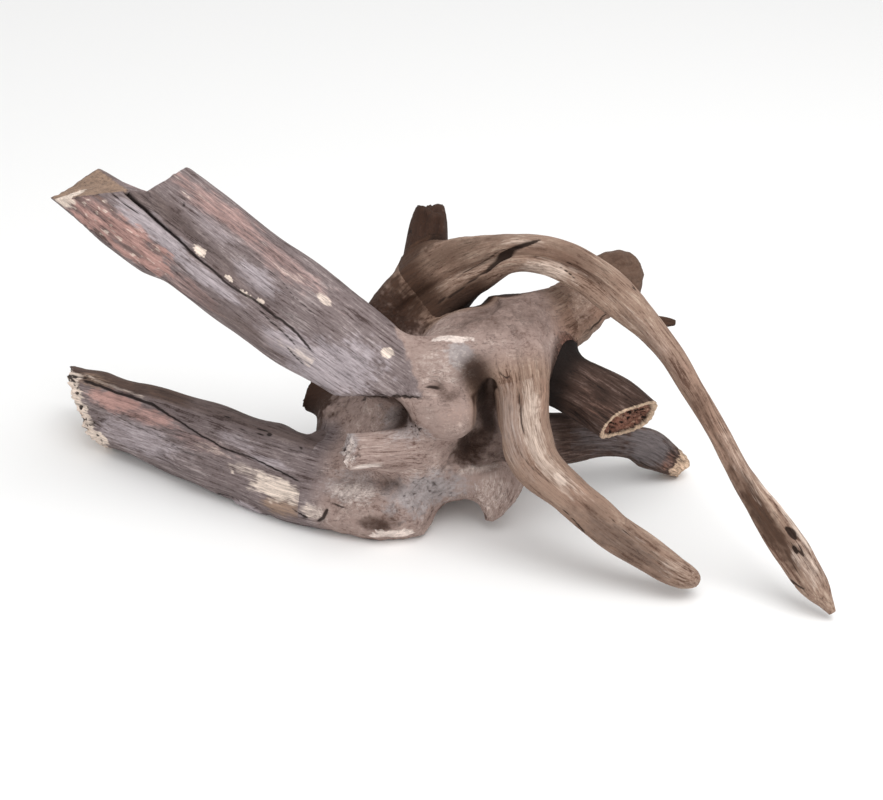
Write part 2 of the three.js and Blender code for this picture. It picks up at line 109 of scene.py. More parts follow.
def limb(rows, fork, ridges=(), seed=0, foot=None, end=None, waves=1.0):
    """A limb's tables: the Catmull-Rom curve through rows of x, y, z, half width and half depth, read off
    evenly by distance along it. front is the side looked at, squared to the curve, and right is along x
    front."""
    rows = np.array(rows, float)
    wide = np.vstack((2 * rows[0] - rows[1], rows, 2 * rows[-1] - rows[-2]))
    turn = np.linspace(0, len(rows) - 1, 60 * len(rows))
    first = np.minimum(turn.astype(int), len(rows) - 2)
    t = (turn - first)[:, None]
    before, here, after, beyond = (wide[first + k] for k in range(4))
    curve = (2 * t**3 - 3 * t**2 + 1) * here + (3 * t**2 - 2 * t**3) * after
    curve += (t**3 - 2 * t**2 + t) * (after - before) / 2 + (t**3 - t**2) * (beyond - here) / 2
    steps = np.linalg.norm(np.diff(curve[:, :3], axis=0), axis=1)
    travelled = np.concatenate(([0], np.cumsum(steps)))
    even = np.arange(0, travelled[-1], TABLE_STEP)
    table = np.stack([np.interp(even, travelled, column) for column in curve.T], 1)
    along = np.gradient(table[:, :3], axis=0)
    along /= np.linalg.norm(along, axis=1)[:, None]
    front = FRONT - along * (along @ FRONT)[:, None]
    front /= np.linalg.norm(front, axis=1)[:, None]
    right = np.cross(along, front)
    table = np.hstack((table[:, :3], along, front, right, table[:, 3:]))
    margin = FAR + rows[:, 3:].max()
    box = (rows[:, :3].min(0) - margin, rows[:, :3].max(0) + margin)
    return SimpleNamespace(
        table=table, length=even[-1], fork=fork, ridges=ridges, seed=seed, foot=foot, end=end, waves=waves,
        rows=rows, box=box,
    )


def station(limb, distance):
    """Centre, directions and half sizes of the section at each distance, read between the table's rows."""
    place = np.clip(distance / TABLE_STEP, 0, len(limb.table) - 1.001)
    low = place.astype(int)
    share = (place - low)[:, None]
    row = limb.table[low] * (1 - share) + limb.table[low + 1] * share
    return SimpleNamespace(
        centre=row[:, :3], along=row[:, 3:6], front=row[:, 6:9], right=row[:, 9:12],
        width=row[:, 12], depth=row[:, 13],
    )


def plain_radius(limb, place, distance, angle):
    """From the centre line to the skin: (|cos/depth|^n + |sin/width|^n)^(-1/n), with slow waves and
    ridges."""
    flat = np.abs(np.cos(angle) / place.depth) ** SQUARENESS
    wide = np.abs(np.sin(angle) / place.width) ** SQUARENESS
    plain = (flat + wide) ** (-1 / SQUARENESS)
    rise = np.zeros(len(angle))
    for at, turning, spread, height, begins, stops in limb.ridges:
        fade = smooth(begins - 12, begins + 6, distance) * (1 - smooth(stops - 10, stops + 12, distance))
        rise += height * fade * bell(angle - np.radians(at + turning * distance), np.radians(spread))
    wave = 0.045 * np.sin(distance / 13 + 2 * angle) + 0.035 * np.sin(distance / 7.3 - 3 * angle + 1.7)
    return np.maximum(plain * (1 + limb.waves * wave) + rise * np.minimum(1, plain / 9), 0.8)


def near(limb, points, reach=None):
    """Where points are on a limb (distance, angle and radius), and roughly how far outside it they lie."""
    coarse = limb.table[::NEAREST_STEP, :3]
    nearest = ((coarse**2).sum(1) - 2 * points @ coarse.T).argmin(1) * NEAREST_STEP
    shift = ((points - limb.table[nearest, :3]) * limb.table[nearest, 3:6]).sum(1)
    most = NEAREST_STEP * TABLE_STEP
    distance = np.clip(nearest * TABLE_STEP + np.clip(shift, -most, most), 0, limb.length)
    place = station(limb, distance)
    offset = points - place.centre
    forward, sideways, past = ((offset * axis).sum(1) for axis in (place.front, place.right, place.along))
    angle = np.arctan2(sideways, forward)
    radius = np.hypot(forward, sideways)
    outside = radius - plain_radius(limb, place, distance, angle)
    outside = np.where(distance <= 0, np.maximum(outside, -past), outside)
    outside = np.where(distance >= limb.length, np.maximum(outside, past), outside)
    run = distance + past
    if reach is not None:
        outside = np.maximum(outside + STUB_SINK * smooth(0, STUB_REACH, run - limb.fork), run - reach)
    if limb.end is not None:
        outside = np.maximum(outside, run - limb.end(angle, radius))
    if limb.foot is not None:
        outside = np.maximum(outside, limb.foot - points @ UP_THE_PICTURE)
    return SimpleNamespace(distance=run, angle=angle, radius=radius, outside=outside)


def outside_limb(limb, points, reach=None):
    """How far points lie outside a limb, worked out only for those in the box round it."""
    close = ((points > limb.box[0]) & (points < limb.box[1])).all(1)
    outside = np.full(len(points), 3.0 * FAR)
    outside[close] = near(limb, points[close], reach).outside
    return outside


def outside_lump(lump, points):
    """Roughly how far points lie outside an ellipsoid: s(s - 1) / |gradient| for the scaled distance s."""
    centre, size = np.array(lump, float)
    offset = points - centre
    scaled = np.linalg.norm(offset / size, axis=1)
    steep = np.linalg.norm(offset / size**2, axis=1)
    return scaled * (scaled - 1) / np.maximum(steep, 1e-6)


def grown(one, other, softness):
    """The lesser of two distances, less (1 - gap / softness)^2 * softness / 4 where the gap between them
    is small."""
    share = np.maximum(softness - np.abs(one - other), 0) / softness
    return np.minimum(one, other) - share * share * softness / 4


# The crown's own swellings and hollows: centre, then radii.
lumps = {
    "body": ((16, 36, 42), (40, 33, 38)),
    "shoulder": ((48, 40, 87), (36, 28, 26)),
    "foot": ((-2, 9, 15), (24, 18, 19)),
    "flank": ((-22, 52, 34), (22, 20, 24)),
    "knob": ((30, 3, 74), (14, 12, 13)),
    "small knob": ((17, 3, 80), (9, 8, 9)),
    "ledge": ((27, 17, 98), (19, 12, 13)),
    "haunch": ((42, 26, 28), (24, 19, 15)),
    "back": ((26, 70, 60), (34, 24, 40)),
    "heel": ((34, 60, 18), (26, 22, 20)),
}
hollows = {
    "slot beside the front root": ((50, 4, 68), (6.5, 22, 24)),
    "recess under the knob": ((47, 6, 50), (12, 16, 12)),
    "crease under the upper log": ((-38, -1, 75), (12, 15, 5)),
    "pit on the back": ((30, 96, 62), (14, 12, 18)),
}

# Where each limb leaves the crown. Its ridges are: angle from the front in degrees, degrees it turns in each
# millimetre, spread in degrees, height, and the distances between which it shows.
forks = {
    "upper_log": limb(
        [[5, 18, 81, 20, 16], [-12, 20, 94, 22.5, 18], [-33, 26, 108, 24, 20], [-59, 32, 125, 25.5, 21],
         [-85, 36, 145, 25.5, 21]],
        fork=46, foot=75, seed=1, waves=0.35,
        ridges=[(-32, 0.218, 9, -2.2, 40, 240), (62, -0.038, 22, 2.4, 0, 240), (-75, 0, 26, 2, 21, 190),
                (12, 0.118, 16, 1.4, 21, 240), (-85, 0, 34, 2.6, 139, 177)],
    ),
    "lower_log": limb(
        [[8, 12, 24, 22, 17], [-14, 14, 20, 23.5, 18], [-38, 22, 17.5, 23, 20], [-72, 40, 17, 22.5, 20],
         [-111, 64, 18, 21, 19]],
        fork=52, seed=2, waves=0.6,
        ridges=[(18, 0.127, 9, -1.6, 0, 260), (60, 0, 22, 2, 0, 260), (-40, 0.042, 20, 1.6, 0, 189),
                (88, 0, 38, 3, 80, 212)],
    ),
    "front_root": limb(
        [[56, 36, 101, 19, 16], [62, 25, 97, 19, 16], [65, 8, 85, 15.5, 14], [66, -6, 71, 13, 13],
         [73, -17, 57, 12, 12], [89, -28, 45, 10.5, 11]],
        fork=34, seed=3,
        ridges=[(-25, -0.115, 24, 2.4, 0, 122), (35, 0.115, 20, 1.5, 0, 139), (5, 0, 14, -1.6, 0, 104)],
    ),
    "arch_root": limb(
        [[-6, 66, 80, 18, 14], [5, 72, 98, 18, 14], [23, 75, 113, 17, 13], [43, 71, 126, 13.5, 11],
         [62, 63, 136, 9, 9.5]],
        fork=34, seed=4,
        ridges=[(-55, 0.17, 28, 2.6, 0, 176), (45, 0.17, 24, 2.4, 0, 159), (-5, 0.17, 13, -3.2, 0, 148),
                (-60, 0.425, 22, 1.4, 141, 335), (-95, 0, 40, 2, 42, 133), (-66, 0, 30, 2.6, 288, 322)],
    ),
    "rear_limb": limb(
        [[58, 44, 98, 20, 17], [73, 50, 99, 18.5, 16], [90, 60, 101, 16.5, 15], [105, 72, 107, 14.5, 14],
         [118, 83, 112, 14.5, 14], [131, 92, 112, 12.5, 12]],
        fork=33, seed=5,
        ridges=[(-50, 0.111, 24, 2, 0, 81), (60, 0, 20, 1.5, 0, 72)],
    ),
    "hollow_stub": limb(
        [[66, 52, 70, 16, 15], [80, 42, 75, 15, 14], [96, 30, 74, 14.5, 14], [112, 18, 69, 14.5, 13.5],
         [131, 4, 62, 14.5, 13]],
        fork=24, seed=6,
        ridges=[(-70, 0, 22, 1.8, 0, 90), (10, 0.18, 12, -1.4, 0, 75)],
    ),
    "low_root": limb(
        [[62, 42, 30, 16, 14], [78, 45, 32, 14.5, 13], [94, 48, 31.5, 13.5, 12], [112, 53, 29, 10.5, 11],
         [129, 57, 24, 8.5, 10], [141, 60, 17.5, 11, 9.5]],
        fork=30, seed=7,
        ridges=[(-60, 0, 22, 1.6, 0, 87), (40, 0, 20, 1.2, 22, 98)],
    ),
}


def broken(length, rough, slant=lambda angle: 0):
    """An end face at length less a slant, roughened by noise over its section."""

    def end(angle, radius):
        face = np.stack((radius * np.cos(angle), radius * np.sin(angle), np.full(len(angle), length)), 1)
        return length - slant(angle) + rough * (noise(face / 4.5) + 0.6 * noise(face / 1.9, 3) - 0.5)

    return end


stubs = {
    "back stub": limb(
        [[9, 78, 86, 18, 14], [13, 86, 103, 15, 12.5], [15.5, 94, 120, 12, 11], [17.5, 100, 135, 9.5, 9.5],
         [19, 103, 148, 6.5, 7.5]],
        fork=22, seed=8, ridges=[(30, 0, 16, -1.6, 0, 61), (-20, 0, 12, -1.2, 22, 70)],
        end=broken(67, 2, lambda angle: 1.5 + 1.5 * np.sin(2 * angle)),
    ),
    "rear stump": limb(
        [[4, 58, 43, 21, 18], [-14, 66, 43, 18, 17], [-32, 74, 44, 14.5, 15], [-49, 80, 45, 11.5, 13]],
        fork=33, seed=9, ridges=[(50, 0, 22, 1.6, 0, 60)],
        end=broken(57, 0.5, lambda angle: 2 * np.cos(angle) + 1.5 * np.sin(2 * angle)),
    ),
    "broken stub": limb(
        [[14, 12, 47, 14, 13], [2, 2, 52, 11.5, 11], [-11, -7, 57, 10, 10], [-27, -15, 62, 8.5, 9]],
        fork=18, seed=10, ridges=[(60, 0, 20, 1.5, 0, 60)],
        end=broken(50.5, 3.2, lambda angle: 1.5 + 1.5 * np.cos(3 * angle)),
    ),
    "spur": limb(
        [[56, 18, 36, 14, 12], [56, 11, 25, 11, 9], [53, 7, 14, 6.5, 6], [50, 6, 6, 2, 2]], fork=14, seed=11
    ),
}


def outside_wood(points, whole_limbs=True):
    """How far points lie outside the wood: lumps and limbs grown together, less the hollows."""
    away = None
    for lump in lumps.values():
        one = outside_lump(lump, points)
        away = one if away is None else grown(away, one, FILLET)
    for part in forks.values():
        reach = None if whole_limbs else part.fork + STUB_REACH
        away = grown(away, outside_limb(part, points, reach), FILLET)
    for part in stubs.values():
        away = grown(away, outside_limb(part, points), FILLET)
    for hollow in hollows.values():
        away = -grown(-away, outside_lump(hollow, points), HOLLOW_EDGE)
    return away


def crown_field(points):
    """How far points lie outside the crown, which is worn flat where it meets the floor."""
    return np.maximum(outside_wood(points, whole_limbs=False), -points[:, 2])


def untwist(value):
    """Where only opposite corners of a grid square lie inside, the corner nearest to the skin changes
    sides."""
    for a, b in ((0, 1), (0, 2), (1, 2)):
        cut = [[slice(None)] * 3 for _ in range(4)]
        for corner, (i, j) in enumerate(((0, 0), (1, 0), (1, 1), (0, 1))):
            cut[corner][a] = slice(i, -1 if i == 0 else None)
            cut[corner][b] = slice(j, -1 if j == 0 else None)
        corners = np.stack([value[tuple(c)] for c in cut])
        inside = corners < 0
        twisted = (inside[0] == inside[2]) & (inside[1] == inside[3]) & (inside[0] != inside[1])
        nearest = np.abs(corners).argmin(0)
        for corner in range(4):
            square = value[tuple(cut[corner])]
            square[twisted & (nearest == corner)] *= -0.5


def skin(field, low, high, cell):
    """Quads over the places where field is 0: a point in each cell that the skin crosses, at the mean of the
    crossings of its edges, and a quad round each grid edge whose ends lie on different sides."""
    axes = [np.arange(low[k], high[k], cell) for k in range(3)]
    grid = np.stack(np.meshgrid(*axes, indexing="ij"), -1)
    value = field(grid.reshape(-1, 3)).reshape(grid.shape[:3])
    untwist(value)
    untwist(value)
    inside = value < 0
    cells = tuple(n - 1 for n in value.shape)
    total = np.zeros(cells + (3,))
    count = np.zeros(cells)
    for corner in np.ndindex(2, 2, 2):
        for axis in range(3):
            if corner[axis]:
                continue
            other = tuple(c + (k == axis) for k, c in enumerate(corner))
            one = value[tuple(slice(c, c + n) for c, n in zip(corner, cells))]
            two = value[tuple(slice(c, c + n) for c, n in zip(other, cells))]
            crossing = (one < 0) != (two < 0)
            share = np.where(crossing, one / np.where(crossing, one - two, 1), 0)
            place = np.array(corner, float) + share[..., None] * np.eye(3)[axis]
            total += place * crossing[..., None]
            count += crossing
    crossed = count > 0
    number = np.full(cells, -1)
    number[crossed] = np.arange(crossed.sum())
    points = (np.argwhere(crossed) + total[crossed] / count[crossed][:, None]) * cell + np.array(low)
    quads = []
    for axis in range(3):
        b, c = (axis + 1) % 3, (axis + 2) % 3
        start = np.moveaxis(inside, (axis, b, c), (0, 1, 2))
        index = np.moveaxis(number, (axis, b, c), (0, 1, 2))
        changes = start[:-1, 1:-1, 1:-1] != start[1:, 1:-1, 1:-1]
        i, j, k = np.nonzero(changes)
        around = np.stack((index[i, j, k], index[i, j + 1, k], index[i, j + 1, k + 1], index[i, j, k + 1]), 1)
        outward = start[i, j + 1, k + 1]
        quads.append(np.where(outward[:, None], around, around[:, ::-1]))
    return points, np.vstack(quads)


def halved(points, quads):
    """Each quad cut into four, with new points in the middle of its sides and of its face."""
    sides = np.stack((quads, np.roll(quads, -1, 1)), -1)
    pairs, which = np.unique(np.sort(sides.reshape(-1, 2), 1), axis=0, return_inverse=True)
    middle = len(points) + which.reshape(-1, 4)
    centre = len(points) + len(pairs) + np.arange(len(quads))
    points = np.vstack((points, points[pairs].mean(1), points[quads].mean(1)))
    corners = [np.stack((quads[:, k], middle[:, k], centre, middle[:, k - 1]), 1) for k in range(4)]
    return points, np.vstack(corners)


def evened(points, quads, share):
    """Each point moved by share towards the mean of its neighbours."""
    sides = np.vstack([quads[:, (k, (k + 1) % 4)] for k in range(4)])
    count = np.bincount(sides[:, 0], minlength=len(points)) + 1e-9
    mean = np.stack([np.bincount(sides[:, 0], points[sides[:, 1], k], len(points)) for k in range(3)], 1)
    return points + share * (mean / count[:, None] - points)


def settled(points, field, passes=2):
    """Points moved onto the skin by p - f g / g.g, with the slope g from nearby values."""
    for _ in range(passes):
        here = field(points)
        step = 0.25
        slope = np.stack([(field(points + step * axis) - here) / step for axis in np.eye(3)], 1)
        points = points - slope * (here / np.maximum((slope**2).sum(1), 0.2)).clip(-3, 3)[:, None]
    return points


def normals(points, quads):
    """Unit normals: the sum, at each point, of the cross products of its quads' diagonals."""
    face = np.cross(points[quads[:, 2]] - points[quads[:, 0]], points[quads[:, 3]] - points[quads[:, 1]])
    total = np.zeros_like(points)
    for corner in range(4):
        for k in range(3):
            total[:, k] += np.bincount(quads[:, corner], face[:, k], len(points))
    return total / np.maximum(np.linalg.norm(total, axis=1), 1e-9)[:, None]


def grain_carving(grain, seed):
    """Relief of wood along its grain: slow swells, long fibres and drying cracks. grain is the distance
    along the limb and the two places across it, and each noise is stretched along the first. cleft is 1 in
    the cracks."""
    wander = 2.2 * np.stack([noise(grain / (48, 17, 17), seed + k) for k in (20, 21)], 1)
    bent = grain + np.pad(wander, ((0, 0), (1, 0)))
    swell = 0.7 * noise(bent / (38, 12, 12), seed)
    fibre = noise(bent / (60, 4.2, 4.2), seed + 1)
    thread = noise(bent / (34, 1.9, 1.9), seed + 2)
    crack = noise(bent / (52, 8, 8), seed + 3)
    open_here = smooth(0.2, 0.6, noise(bent / (34, 14, 14), seed + 4))
    cleft = np.exp(-((crack / 0.036) ** 2)) * open_here
    height = swell + 0.5 * (0.45 - np.abs(fibre)) + 0.24 * (0.4 - np.abs(thread)) - 0.7 * cleft
    return SimpleNamespace(height=height, cleft=cleft)


def gnarl_carving(points):
    """Relief of burr wood: soft lumps, a wandering grain that flows round them, and short cracks."""
    bent = points + 5 * np.stack([noise(points / 17, k) for k in (31, 32, 33)], 1)
    lumpy = 1.1 * noise(points / 15, 34) + 0.55 * noise(bent / 6.5, 35)
    fibre = noise(bent / (11, 3.4, 4.2), 36)
    thread = noise(bent / (7, 1.9, 2.2), 37)
    crack = noise(bent / (13, 7, 6), 38)
    open_here = smooth(0.2, 0.55, noise(points / 12, 39))
    cleft = np.exp(-((crack / 0.045) ** 2)) * open_here
    height = lumpy + 0.34 * (0.4 - np.abs(fibre)) + 0.16 * (0.4 - np.abs(thread)) - 0.5 * cleft
    return SimpleNamespace(height=height, cleft=0.4 * cleft)


def shade(points, normal, field):
    """How closed in each point is, 0 to 1, from how near the wood is at three heights above it."""
    total = np.zeros(len(points))
    for height, weight in ((3.5, 0.25), (8, 0.35), (17, 0.4)):
        total += weight * np.clip(1 - field(points + height * normal) / height, 0, 1)
    return total


def ragged(points):
    """What noise adds to a scaled distance, so that the edge of a spot wanders."""
    return 0.3 * noise(points / 5, 50) + 0.2 * noise(points / 1.9, 51)


def spot(points, edge, centre, size, soft=0.25):
    """1 inside an ellipsoid and 0 outside, across an edge of soft times its size either way."""
    away = np.linalg.norm((points - centre) / np.array(size, float), axis=1) + edge
    return 1 - smooth(1 - soft, 1 + soft, away)


def spots(points, edge, rows):
    """The most of several spots. Each row is a strength, then a spot's centre, size and softness."""
    return np.maximum.reduce([strength * spot(points, edge, *place) for strength, *place in rows])


def line_depth(points, line, width):
    """exp(-(d / width)^2) for the distance d from a line through points in space."""
    nearest = np.full(len(points), np.inf)
    for start, stop in zip(np.array(line[:-1], float), np.array(line[1:], float)):
        way = stop - start
        share = np.clip((points - start) @ way / (way @ way), 0, 1)
        nearest = np.minimum(nearest, np.linalg.norm(points - start - share[:, None] * way, axis=1))
    return np.exp(-((nearest / width) ** 2))


def put_piece(name, points, quads, marks, material, node):
    """A mesh of quads in metres, kept inside the solids' box, with each mark as a point attribute. A quad
    whose last two corners are the same is a triangle."""
    low, high = np.array(cad_box) / MM
    points = np.clip(points, low + 0.02, high - 0.02)
    triangle = quads[:, 2] == quads[:, 3]
    corners = np.where(triangle, 3, 4)
    used = np.ones(quads.shape, bool)
    used[triangle, 3] = False
    mesh = bpy.data.meshes.new(name)
    mesh.vertices.add(len(points))
    mesh.vertices.foreach_set("co", (points * MM).ravel())
    mesh.loops.add(int(corners.sum()))
    mesh.loops.foreach_set("vertex_index", quads[used])
    mesh.polygons.add(len(quads))
    mesh.polygons.foreach_set("loop_start", np.concatenate(([0], np.cumsum(corners)[:-1])))
    mesh.polygons.foreach_set("use_smooth", np.ones(len(quads), bool))
    mesh.update(calc_edges=True)
    for mark, values in marks.items():
        kind, key = ("FLOAT_VECTOR", "vector") if values.ndim == 2 else ("FLOAT", "value")
        attribute = mesh.attributes.new(mark, kind, "POINT")
        attribute.data.foreach_set(key, values.astype(np.float32).ravel())
    mesh.materials.append(material)
    piece = bpy.data.objects.new(name, mesh)
    bpy.context.scene.collection.objects.link(piece)
    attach(piece, "root")
    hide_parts(node)
    return piece


def node_kit(tree):
    """Short ways to add nodes to one tree: a node, a sum of values, and a mix of two colours."""

    def add(kind, **settings):
        inputs = settings.pop("inputs", {})
        node = tree.nodes.new(kind)
        for key, value in settings.items():
            setattr(node, key, value)
        for key, value in inputs.items():
            if isinstance(value, bpy.types.NodeSocket):
                tree.links.new(value, node.inputs[key])
            else:
                node.inputs[key].default_value = value
        return node

    def maths(operation, one, two=0.0, clamp=False):
        return add("ShaderNodeMath", operation=operation, use_clamp=clamp, inputs={0: one, 1: two}).outputs[0]

    def mix(factor, one, two, blend="MIX"):
        node = add("ShaderNodeMix", data_type="RGBA", blend_type=blend, inputs={0: factor, 6: one, 7: two})
        return node.outputs[2]

    def ramp(value, low, high):
        node = add("ShaderNodeMapRange", interpolation_type="SMOOTHSTEP")
        for index, setting in enumerate((value, low, high, 0.0, 1.0)):
            if isinstance(setting, bpy.types.NodeSocket):
                tree.links.new(setting, node.inputs[index])
            else:
                node.inputs[index].default_value = setting
        return node.outputs[0]

    return SimpleNamespace(add=add, maths=maths, mix=mix, ramp=ramp)


def weathered_wood():
    """The node group of all the wood: streaks and fibres along the grain attribute, blotches and specks in
    the gnarled parts, coloured between dark, middle and light, with pale, ruddy, silver, khaki and
    dark-stained places from the marks, painted shade from the marks and in the cracks, and less contrast
    where it is worn. It gives colour, roughness and height."""
    tree = bpy.data.node_groups.new("weathered wood", "ShaderNodeTree")
    for colour in ("Dark", "Middle", "Light", "Pale", "Ruddy", "Silver", "Dusk", "Khaki"):
        tree.interface.new_socket(colour, in_out="INPUT", socket_type="NodeSocketColor")
    tree.interface.new_socket("Colour", in_out="OUTPUT", socket_type="NodeSocketColor")
    tree.interface.new_socket("Roughness", in_out="OUTPUT", socket_type="NodeSocketFloat")
    tree.interface.new_socket("Height", in_out="OUTPUT", socket_type="NodeSocketFloat")
    kit = node_kit(tree)
    given = tree.nodes.new("NodeGroupInput").outputs

    def mark(name, output="Fac"):
        return kit.add("ShaderNodeAttribute", attribute_name=name).outputs[output]

    def stretched(vector, scale, detail, rough=0.6, twist=0.0):
        placed = kit.add("ShaderNodeMapping", inputs={"Vector": vector, "Scale": scale}).outputs[0]
        texture = kit.add("ShaderNodeTexNoise", inputs={
            "Vector": placed, "Scale": 1.0, "Detail": detail, "Roughness": rough, "Distortion": twist})
        return texture.outputs["Fac"]

    def blended(one, other):
        return kit.add("ShaderNodeMix", data_type="FLOAT", inputs={0: limbness, 2: other, 3: one}).outputs[0]

    def spread(value, gain):
        return kit.maths("MULTIPLY", kit.maths("SUBTRACT", value, 0.5), gain)

    limbness = mark("limbness")
    grain = mark("grain", "Vector")
    place = kit.add("ShaderNodeTexCoord").outputs["Object"]
    broad = blended(stretched(grain, (0.02, 0.22, 0.22), 4), stretched(place, (90, 150, 130), 4, twist=0.6))
    streaks = blended(
        stretched(grain, (0.05, 0.75, 0.75), 4), stretched(place, (240, 420, 380), 4, twist=0.8)
    )
    fibres = blended(stretched(grain, (0.16, 1.9, 1.9), 3), stretched(place, (500, 900, 800), 3, twist=0.8))
    lines = blended(
        stretched(grain, (0.03, 0.5, 0.5), 3, 0.5), stretched(place, (150, 420, 300), 3, twist=0.8)
    )
    blotch = stretched(place, (60, 60, 60), 4, 0.6)
    speck = stretched(place, (800, 800, 800), 2, 0.7)
    cleft = mark("cleft")
    fine = kit.maths("ADD", spread(streaks, 1.9), spread(fibres, 1.3))
    fine = kit.maths("MULTIPLY", fine, kit.add("ShaderNodeMath", operation="MULTIPLY_ADD", inputs={
        0: limbness, 1: 0.45, 2: 0.55}).outputs[0])
    level = kit.maths("ADD", spread(broad, 1.5), fine)
    level = kit.maths("ADD", level, spread(blotch, 1.1))
    level = kit.maths("ADD", level, spread(speck, 0.6))
    contrast = kit.maths("SUBTRACT", 1.0, kit.maths("MULTIPLY", mark("worn"), 0.55))
    level = kit.maths("MULTIPLY", level, contrast)
    level = kit.maths("ADD", level, 0.5)
    base = kit.mix(kit.ramp(level, -0.12, 0.5), given["Dark"], given["Middle"])
    base = kit.mix(kit.ramp(level, 0.5, 1.12), base, given["Light"])
    edge = kit.maths("ADD", spread(fibres, 0.6), spread(streaks, 0.6))
    tone = kit.add("ShaderNodeMath", operation="MULTIPLY_ADD", inputs={0: level, 1: 0.62, 2: 0.66}).outputs[0]
    # One of these tints, the darkest brown, stands for both dark stains and painted shade.
    tints = (
        ("silver", 0.15, 0.9), ("ruddy", 0.15, 0.9), ("dusk", 0.0, 1.0), ("khaki", 0.1, 0.8),
        ("pale", 0.22, 0.85),
    )
    for name, low, high in tints:
        share = kit.ramp(kit.maths("ADD", mark(name), edge), low, high)
        share = kit.maths("MULTIPLY", share, kit.ramp(mark(name), 0.0, 0.12))
        tint = kit.mix(1.0, given[name.capitalize()], tone, "MULTIPLY")
        base = kit.mix(share, base, tint)
    hairline = kit.maths("ABSOLUTE", kit.maths("SUBTRACT", lines, 0.5))
    hairline = kit.maths("SUBTRACT", 1.0, kit.ramp(hairline, 0.004, 0.022))
    hairline = kit.maths("MULTIPLY", hairline, kit.ramp(blotch, 0.4, 0.6))
    # Painted shade: cracks, nicks, pits and the deepest marks darken towards near black. The hairlines are
    # dark grain lines.
    sunk = kit.ramp(cleft, 0.12, 0.6)
    grain_lines_and_painted_shade = kit.maths("MAXIMUM", kit.maths("MULTIPLY", hairline, 0.36), kit.maths("MULTIPLY", sunk, 0.93))
    grain_lines_and_painted_shade = kit.maths("MAXIMUM", grain_lines_and_painted_shade, kit.maths("MULTIPLY", mark("deep"), 0.9))
    black = kit.mix(0.75, given["Dark"], (0.005, 0.0035, 0.003, 1))
    colour = kit.mix(grain_lines_and_painted_shade, base, black)
    height = kit.maths("ADD", kit.maths("MULTIPLY", fibres, 0.55), kit.maths("MULTIPLY", streaks, 0.9))
    height = kit.maths("ADD", height, kit.maths("MULTIPLY", speck, 0.35))
    height = kit.maths("SUBTRACT", height, kit.maths("MULTIPLY", hairline, 0.3))
    roughness = kit.maths("ADD", 0.66, kit.maths("MULTIPLY", speck, 0.35))
    result = tree.nodes.new("NodeGroupOutput").inputs
    tree.links.new(colour, result["Colour"])
    tree.links.new(roughness, result["Roughness"])
    tree.links.new(height, result["Height"])
    return tree


wood_group = weathered_wood()


# Colours of the wood as the eye reads them, red, green and blue from 0 to 255.
# In each set, one dark brown colours both dark stains and painted shade.
crown_colours = {
    "Dark": (98, 76, 68), "Middle": (158, 137, 129), "Light": (192, 172, 163), "Pale": (228, 212, 203),
    "Ruddy": (178, 138, 120), "Silver": (160, 151, 150), "Dusk": (66, 47, 38), "Khaki": (178, 154, 134),
}
log_colours = {
    "Dark": (74, 61, 59), "Middle": (124, 111, 110), "Light": (162, 149, 147), "Pale": (230, 212, 198),
    "Ruddy": (178, 141, 133), "Silver": (170, 159, 162), "Dusk": (90, 72, 64), "Khaki": (148, 124, 107),
}
root_colours = {
    "Dark": (90, 67, 56), "Middle": (146, 121, 106), "Light": (180, 157, 140), "Pale": (204, 184, 170),
    "Ruddy": (158, 120, 102), "Silver": (150, 137, 132), "Dusk": (72, 52, 41), "Khaki": (160, 136, 112),
}
dark_colours = {
    "Dark": (42, 31, 27), "Middle": (78, 61, 54), "Light": (118, 99, 92), "Pale": (214, 186, 160),
    "Ruddy": (160, 112, 94), "Silver": (104, 96, 96), "Dusk": (40, 29, 24), "Khaki": (140, 118, 96),
}


def linear(seen):
    """The colour that a shader needs for one that the eye reads: (value / 255)^2.2, opaque."""
    return (*((np.array(seen) / 255.0) ** 2.2), 1)


def wood(name, colours, beside=()):
    """A material of the wood group. beside gives the colours that take over where a mark says so."""
    material = bpy.data.materials.new(name)
    material.use_nodes = True
    tree = material.node_tree
    shader = tree.nodes["Principled BSDF"]
    shader.inputs["Specular IOR Level"].default_value = 0.25
    group = tree.nodes.new("ShaderNodeGroup")
    group.node_tree = wood_group
    kit = node_kit(tree)
    shares = []
    for mark, other in beside:
        shares.append((kit.add("ShaderNodeAttribute", attribute_name=mark).outputs["Fac"], other))
    for key, seen in colours.items():
        group.inputs[key].default_value = linear(seen)
        mixed = linear(seen)
        for share, other in shares:
            mixed = kit.mix(share, mixed, linear(other[key]))
        if shares:
            tree.links.new(mixed, group.inputs[key])
    raised = tree.nodes.new("ShaderNodeBump")
    raised.inputs["Strength"].default_value = BUMP
    raised.inputs["Distance"].default_value = BUMP_HEIGHT
    tree.links.new(group.outputs["Height"], raised.inputs["Height"])
    tree.links.new(raised.outputs["Normal"], shader.inputs["Normal"])
    tree.links.new(group.outputs["Colour"], shader.inputs["Base Color"])
    tree.links.new(group.outputs["Roughness"], shader.inputs["Roughness"])
    return material


crown_wood = wood(
    "worn crown wood", crown_colours,
    beside=(("as_log", log_colours), ("as_root", root_colours), ("as_dark", dark_colours)),
)


def wedge(points):
    """Where the upper log's wood overlaps the crown as a wedge (0 to 1), left of a line from its upper
    side down to the wedge's tip, and how far below the picture's height of its lower edge each point lies."""
    height = points @ UP_THE_PICTURE
    wander = 1.6 * noise(points / 5, 52) + 0.8 * noise(points / 1.7, 53)
    right_edge = 2 + 0.39 * (108 - height)
    below = 74 - height + 0.9 * wander
    inside = smooth(-1.2, 1.2, right_edge - points[:, 0] + wander) * (1 - smooth(-0.6, 0.6, below))
    return inside * (points[:, 1] < 44), below


def grain_place(distance, angle, radius):
    """Grain coordinates: the distance along a limb, then how far forward and sideways of its centre line."""
    return np.stack((distance, radius * np.cos(angle), radius * np.sin(angle)), 1)


